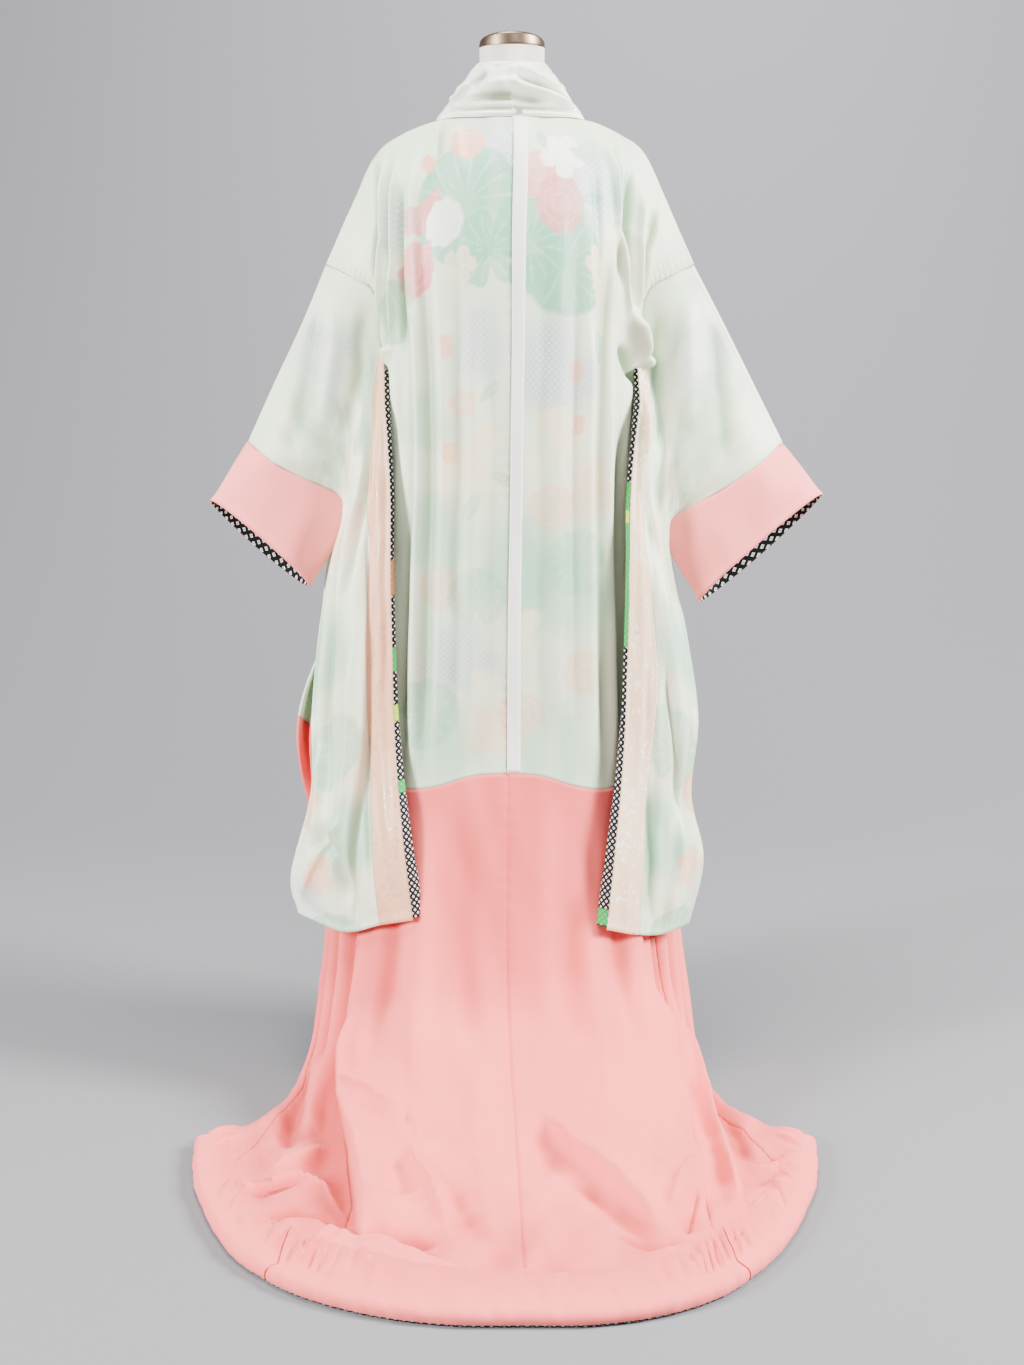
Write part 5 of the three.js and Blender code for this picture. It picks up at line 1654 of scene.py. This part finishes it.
RIGHT_LOOK = SleeveLook(
    facing=((2, 0.05), (2.25, 1), (2.9, 0.8), (3.5, 0.45), (4.2, 0.87), (5, 1.15),
            (5.8, 1.45), (7, 1.2), (9, 1.2)),
    folds=(
        Fold(((0.3, 0.4), (0.9, 1.1), (1.9, 1.6)), 14, 4),
        Fold(((0.7, 0.2), (1.6, 0.8), (2.8, 1.3)), 15, -4.5),
        Fold(((0.2, 1.3), (0.6, 2), (1.4, 2.6)), 10, -4),
        Fold(((0.4, 2.2), (0.9, 3.4), (1.8, 4)), 10, 6),
        Fold(((1.6, 2.6), (2.2, 3.8), (2.5, 5)), 11, -6),
        Fold(((1.4, 4.2), (2, 5.6), (2.3, 6.8)), 12, 7),
        Fold(((1.7, 5.6), (2.2, 6.8), (2.6, 7.6)), 9, -7, True),
        Fold(((1.2, 7), (1.5, 8), (1.5, 8.9)), 8, -6, True),
        Fold(((2.1, 2.5), (2.45, 4.2), (2.6, 6.2), (2.5, 7.4)), 5, 7, False, (-1, 0, 0), 40),
        Fold(((2.4, 7), (2.3, 8), (2, 8.8)), 12, 7),
        Fold(((0.6, 3), (0.7, 5.6), (0.6, 8.8)), 8, 2.5),
    ),
    patches=((3.9, 5.9, "green"), (4.3, 4.5, "lime"), (8.75, 8.95, "green")),
)
PATCH_COLOURS = {"green": linear(0x1E9A45), "lime": linear(0xA6D22E), "brown": linear(0xA3643A)}


@dataclass
class Sleeve:
    """One sleeve: a lined bag, its facings, the face cloth at its open edge and its cuff."""
    side: Side
    look: SleeveLook
    finishes: Finishes
    step: float = 5.0
    lip_top: tuple[float, float] = (438.0, 874.0)
    lip_low: tuple[float, float] = (296.0, 748.0)
    lip_back: float = 52.0
    lip_half: float = 26.0
    lip_lead: float = 24.0
    belly: float = 30.0
    gain: float = 1.6

    def limit(self, down: Array) -> Array:
        """Where the facing ends: a line through the look's table."""
        rows, places = zip(*self.look.facing)
        return np.interp(down, rows, places)

    def heights(self, layer: Layer, base: Array, across: Array, down: Array) -> Array:
        """Outward height of folds and ripples of a layer: bells along lines, and sines.

        Args:
            layer: layer of the bag.
            base: (rows, columns, 3) points in millimetres.
            across: place across at each point.
            down: place down at each point.

        Returns:
            Heights in millimetres, no lower than the room between the layers allows.
        """
        flat = base.reshape(-1, 3)
        total = np.zeros(len(flat))
        for fold in self.look.folds:
            line = dense_line(fold.path, lambda a, d: sleeve_point(self.side, layer, a, d))
            total += fold_height(flat, line, fold)
        total = self.gain * total.reshape(across.shape)
        inside = smooth(SLEEVE_EDGE - across, 0, 0.3) * smooth(SLEEVE_END - down, 0, 0.25)
        inside = inside * smooth(down, 0, 0.35)
        mm_across, mm_down = across * COLUMN_MM, down * ROW_MM
        waves = ripple(mm_across, mm_down, 40 + self.side.value, (75.0, 320.0), 1.6, 6)
        fine = ripple(mm_across, mm_down, 50 + self.side.value, (34.0, 120.0), 0.6)
        back, front = (sleeve_point(self.side, each, across, down) for each in Layer)
        room = np.abs((back - front)[..., 1]) / 2 - WALL - 2.5
        return np.maximum((total + waves + fine) * inside, -np.maximum(room, 0))

    def sheet(self, name: str, layer: Layer, across: Array, down: Array,
              finish: Material, tinted: bool) -> Piece:
        """A piece of a layer over a grid of places.

        Args:
            name: name of the piece.
            layer: layer of the bag.
            across: place across at each point.
            down: place down at each point.
            finish: outer finish.
            tinted: whether the print shows on it.

        Returns:
            The piece.
        """
        base = sleeve_point(self.side, layer, across, down)
        outward = -self.side.value * layer.value
        normal = normals_of(lambda a, d: sleeve_point(self.side, layer, a, d), across, down, outward)
        height = self.heights(layer, base, across, down)
        points = base + normal * height[..., None]
        mm_across, mm_down = cloth_lengths(base)
        start = across[:, :1] * 58
        tint = None
        if tinted:
            tint = paint_print(mm_across + start, mm_down, SLEEVE_PRINT, MINT, 60 + self.side.value)
            # Painted shade: the mint silk's colours darken in the hollows of its folds.
            paint_hollow_shade(tint, height)
        return make_grid(name, points, (finish, self.finishes.face), outward, (mm_across + start, mm_down),
                         tint, wall=1.2)

    def bag(self, layer: Layer) -> None:
        """The lining and the facing of one layer.

        Args:
            layer: layer of the bag.
        """
        label = f"{layer.label}_{self.side.label}"
        locate = lambda d: sleeve_point(self.side, layer, np.full_like(d, 1.5), d)
        downs = even_places(0, SLEEVE_END, locate, self.step)
        start = np.where(downs < CUFF_ROW, 0, self.limit(downs))
        shares = np.linspace(0, 1, 62)
        across = start[:, None] + (SLEEVE_EDGE - start)[:, None] * shares
        down = np.broadcast_to(downs[:, None], across.shape)
        lining = self.sheet(f"sleeve_lining_{label}", layer, across, down, self.finishes.mint, True)
        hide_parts(f"sleeve_{label}")
        downs = downs[downs >= CUFF_ROW]
        across = self.limit(downs)[:, None] * np.linspace(0, 1, 22)
        down = np.broadcast_to(downs[:, None], across.shape)
        facing = self.sheet(f"sleeve_facing_strip_{label}", layer, across, down,
                            self.finishes.jacquard[self.side], False)
        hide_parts(f"sleeve_facing_{label}")
        LOG.info("%s, %s", lining.name, facing.name)

    def face_edge(self) -> None:
        """The face cloth turned over the back layer's open edge: a strip leaning in and forward."""
        locate = lambda d: sleeve_point(self.side, Layer.BACK, 0 * d, d)
        downs = even_places(2.35, 8.97, locate, 3.0)
        shares = np.linspace(0, 1, 10)
        width = 6 + 4 * bump((downs - 2.8) / 0.5) + np.sin(downs * 2.1)
        width += 14 * np.clip((downs - 6.5) / 2, 0, 1)
        edge = locate(downs)
        lean = np.array([-self.side.value * 0.72, 0.70, 0.0])
        curl = np.sin(np.pi * shares)[None, :, None] * np.array([0.0, -1.0, 0.0]) * 2.0
        points = edge[:, None, :] + lean * (0.6 + width[:, None] * shares)[..., None] + curl
        tint = np.zeros(points.shape[:2] + (4,))
        for low, high, name in self.look.patches:
            inside = (downs > low) & (downs < high)
            tint[inside, :, :3] = PATCH_COLOURS[name]
            tint[inside, :, 3] = 0.85
        piece = make_grid(f"face_cloth_edge_{self.side.label}", points, (self.finishes.dots,),
                          -self.side.value, cloth_lengths(points), tint, wall=1.0)
        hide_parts(f"sleeve_face_edge_{self.side.label}")
        LOG.info("%s", piece.name)

    def cuff_point(self, turn: Array, reach: Array) -> Array:
        """Point of the cuff: from the sleeve's open edge straight to the lip.

        The lip is a flattened ring, a cosine from its low to its top point and a sine in depth,
        whose front side leads.

        Args:
            turn: 0 to 1 once round, from the seam underneath over the back and down the front.
            reach: 0 at the sleeve to 1 at the lip.

        Returns:
            Points in millimetres.
        """
        rows = CUFF_ROW * np.abs(1 - 2 * turn)
        outer = np.full_like(turn, SLEEVE_EDGE)
        over = sleeve_point(self.side, Layer.BACK, outer, rows)
        under = sleeve_point(self.side, Layer.FRONT, outer, rows)
        seam = np.where((turn < 0.5)[..., None], over, under)
        angle = 2 * np.pi * turn
        share = (1 + np.cos(angle)) / 2
        slip = self.lip_lead * (1 - np.sin(angle)) / 2
        out = self.lip_top[0] + (self.lip_low[0] - self.lip_top[0]) * share + slip * 0.5
        up = self.lip_top[1] + (self.lip_low[1] - self.lip_top[1]) * share - slip * 0.86
        lip = np.stack([self.side.value * out, -(self.lip_back + self.lip_half * np.sin(angle)), up], axis=-1)
        point = seam + (lip - seam) * reach[..., None]
        belly = self.belly * share ** 4 * np.sin(np.pi * np.sqrt(reach))
        point[..., 0] -= self.side.value * belly
        return point

    def cuff(self) -> None:
        """The pink cuff, with the face cloth inside it."""
        turns = np.linspace(0, 1, 121)[:-1]
        reaches = np.linspace(0, 1, 26)
        reach, turn = np.meshgrid(reaches, turns, indexing="ij")
        base = self.cuff_point(turn, reach)
        outward = -self.side.value
        normal = grid_normals(base, outward)
        mm_across, mm_down = turn * 380, reach * 88
        height = 1.0 + ripple(mm_across, mm_down, 70 + self.side.value, (70.0, 80.0), 0.9)
        height += 1.4 * bump((reach - 0.97) / 0.05) - 1.2 * np.exp(-reach / 0.02)
        height += 2.2 * bump((turn - 0.12 - 0.05 * reach) / 0.03) * smooth(reach, 0.1, 0.6)
        height -= 2.0 * bump((turn - 0.19 - 0.06 * reach) / 0.03) * smooth(reach, 0.2, 0.7)
        points = base + normal * height[..., None]
        piece = make_grid(f"cuff_band_{self.side.label}", points, (self.finishes.cuff, self.finishes.dots),
                          outward, (mm_across, mm_down), np.zeros(points.shape[:2] + (4,)), round_u=True)
        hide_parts(f"cuff_{self.side.label}")
        LOG.info("%s", piece.name)

    def build(self) -> None:
        """Builds the whole sleeve."""
        for layer in Layer:
            self.bag(layer)
        self.face_edge()
        self.cuff()


# ---- Dress form ----

# Torso sections: height, half width, reach to the back, reach to the front.
TORSO = np.array([
    [742, 150, 104, 98], [790, 156, 110, 102], [860, 148, 106, 98], [940, 128, 92, 88],
    [1000, 120, 86, 90], [1080, 134, 94, 108], [1150, 148, 104, 112], [1230, 160, 104, 98],
    [1290, 165, 92, 76], [1335, 163, 68, 50], [1362, 154, 46, 30], [1376, 138, 36, 22],
    [1388, 112, 34, 18], [1399, 86, 40, 24], [1410, 62, 46, 40], [1428, 50, 47, 46],
    [1460, 47, 47, 47], [1512, 47, 47, 47],
], float)

# The neck cap's profile: radius, height, and how much of the slant it takes.
CAP = np.array([
    [0, 1512.3, 0], [47.2, 1512.3, 0], [47.6, 1514, 0.1], [47.4, 1517, 0.5], [46.9, 1519.4, 1],
    [45.6, 1521.4, 1], [43.2, 1523, 1], [38, 1524.4, 1], [24, 1526, 1], [0, 1526.6, 1],
], float)


@dataclass
class DressForm:
    """The limbless dress form and its stand."""
    finishes: Finishes
    around: int = 96
    steps: int = 170

    def torso(self) -> Piece:
        """The linen torso: rounded sections, with exponent 0.86 on the body and 1 on the neck.

        Returns:
            The torso.
        """
        spots = np.linspace(0, len(TORSO) - 1, self.steps)
        up, half, back, front = line_at(TORSO, spots).T
        angle = np.linspace(0, 2 * np.pi, self.around + 1)[:-1]
        power = 0.86 + 0.14 * smooth(up, 1405, 1432)[:, None]
        cosine, sine = np.cos(angle)[None, :], np.sin(angle)[None, :]
        x = half[:, None] * np.sign(cosine) * np.abs(cosine) ** power
        reach = np.where(sine < 0, back[:, None], front[:, None])
        y = reach * np.sign(sine) * np.abs(sine) ** power
        seam = 0.5 * (np.exp(-np.abs(x) / 0.9) * (np.abs(sine) > 0.5))
        y -= np.sign(y) * seam
        points = np.stack([x, y, np.broadcast_to(up[:, None], x.shape)], axis=-1)
        middle = np.broadcast_to([0, 0, TORSO[0, 0]], (1, self.around, 3))
        top = np.broadcast_to([0, 0, TORSO[-1, 0]], (1, self.around, 3))
        points = np.concatenate([middle, points, top])
        uv = (np.broadcast_to(angle * 150, points.shape[:2]), points[..., 2])
        piece = make_grid("linen_torso", points, (self.finishes.linen,), 1, uv, wall=0, round_u=True)
        join_doubles(piece)
        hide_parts("form_torso")
        return piece

    def cap(self) -> Piece:
        """The bronze neck cap: a turned profile whose top slants up towards the back.

        Returns:
            The cap.
        """
        spots = np.linspace(0, len(CAP) - 1, 60)
        radius, up, lean = (np.interp(spots, np.arange(len(CAP)), column) for column in CAP.T)
        angle = np.linspace(0, 2 * np.pi, 97)[:-1]
        y = -radius[:, None] * np.cos(angle)
        x = radius[:, None] * np.sin(angle)
        z = up[:, None] - 8 * lean[:, None] * y / 47
        points = np.stack([x, y, z], axis=-1)
        piece = make_grid("bronze_cap", points, (self.finishes.bronze,), 1, wall=0, round_u=True)
        join_doubles(piece)
        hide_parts("neck_cap")
        return piece

    def build(self) -> None:
        """Builds the torso and the cap, and dresses the stand."""
        for piece in (self.torso(), self.cap()):
            LOG.info("%s", piece.name)
        for name in ("hip_plate", "stand_pole", "stand_base"):
            refinish(name, self.finishes.bronze)


# ---- Studio ----


@dataclass
class Studio:
    """The camera, the plain backdrop and the soft lights."""
    distance: float = 2.93
    height: float = 1.10
    pitch: float = 10.0
    sensor: float = 36.0
    lens: float = 1950 / 1365 * 36
    backdrop: float = 1.3      # where the floor starts to curve up
    radius: float = 3.7
    reach: float = 9.0
    wall: float = 6.0

    def camera(self) -> None:
        """A camera level across, turned down by the pitch."""
        data = bpy.data.cameras.new("view")
        data.lens = self.lens
        data.sensor_width = self.sensor
        camera = bpy.data.objects.new("view", data)
        camera.location = (0, -self.distance, self.height)
        camera.rotation_euler = (math.radians(90 - self.pitch), 0, 0)
        bpy.context.scene.collection.objects.link(camera)
        bpy.context.scene.camera = camera

    def sweep(self) -> None:
        """Floor and backdrop in one sweep: a flat, a quarter circle and a wall."""
        turn = np.linspace(0, np.pi / 2, 24)
        along = self.backdrop + self.radius * np.sin(turn)
        bend = np.stack([along, self.radius * (1 - np.cos(turn))], axis=-1)
        line = np.concatenate([[[-self.reach, 0.0]], bend, [[self.backdrop + self.radius, self.wall]]])
        points = np.zeros((len(line), 2, 3))
        points[..., 0] = [-self.reach, self.reach]
        points[..., 1] = line[:, :1]
        points[..., 2] = line[:, 1:]
        mesh = bpy.data.meshes.new("sweep")
        quads = quads_of(np.arange(2 * len(line)).reshape(-1, 2))
        mesh.from_pydata(points.reshape(-1, 3).tolist(), [], quads.tolist())
        mesh.polygons.foreach_set("use_smooth", np.ones(len(quads), bool))
        nodes = Nodes("sweep_paper")
        nodes.set(Base_Color=(*linear(0x7B7B7E), 1.0), Roughness=0.9, Specular_IOR_Level=0.2)
        mesh.materials.append(nodes.material)
        sweep = bpy.data.objects.new("sweep", mesh)
        bpy.context.scene.collection.objects.link(sweep)

    def light(self, name: str, place: tuple, aim: tuple, size: tuple, power: float) -> None:
        """A rectangular soft light that faces a point.

        Args:
            name: name of the light.
            place: where it stands, in metres.
            aim: the point it faces.
            size: width and height in metres.
            power: watts.
        """
        data = bpy.data.lights.new(name, "AREA")
        data.shape = "RECTANGLE"
        data.size, data.size_y = size
        data.energy = power
        lamp = bpy.data.objects.new(name, data)
        lamp.location = place
        lamp.rotation_euler = (Vector(aim) - Vector(place)).to_track_quat("-Z", "Y").to_euler()
        bpy.context.scene.collection.objects.link(lamp)

    def build(self) -> None:
        """Builds the studio."""
        self.camera()
        self.sweep()
        self.light("key", (3.4, -0.9, 2.5), (0, 0, 0.7), (1.0, 1.6), 700)
        self.light("fill", (-3.4, -2.1, 1.8), (0, 0, 0.9), (0.8, 1.5), 480)
        self.light("front", (0.8, -3.7, 2.6), (0, 0, 0.6), (1.4, 0.9), 50)
        self.light("top", (-0.3, -0.6, 3.6), (0, -0.8, 0), (1.5, 1.5), 165)
        self.light("backdrop", (0.8, 2.3, 4.2), (0.3, 5.0, 2.6), (3.0, 1.0), 320)
        world = bpy.data.worlds.new("studio")
        bpy.context.scene.world = world
        world.use_nodes = True
        world.node_tree.nodes["Background"].inputs[0].default_value = (0.97, 0.98, 1.0, 1.0)
        world.node_tree.nodes["Background"].inputs[1].default_value = 0.10
        LOG.info("studio")


def main() -> None:
    """Builds the scene in order."""
    logging.basicConfig(level=logging.INFO, format="%(name)s: %(message)s")
    Studio().build()
    finishes = Finishes()
    DressForm(finishes).build()
    body = Body(finishes)
    body.build()
    HemRoll(body).build()
    Collar(finishes).build()
    Sleeve(Side.LEFT, LEFT_LOOK, finishes).build()
    Sleeve(Side.RIGHT, RIGHT_LOOK, finishes, lip_top=(450.0, 883.0), lip_low=(274.0, 726.0)).build()


if __name__ == "__main__":
    main()
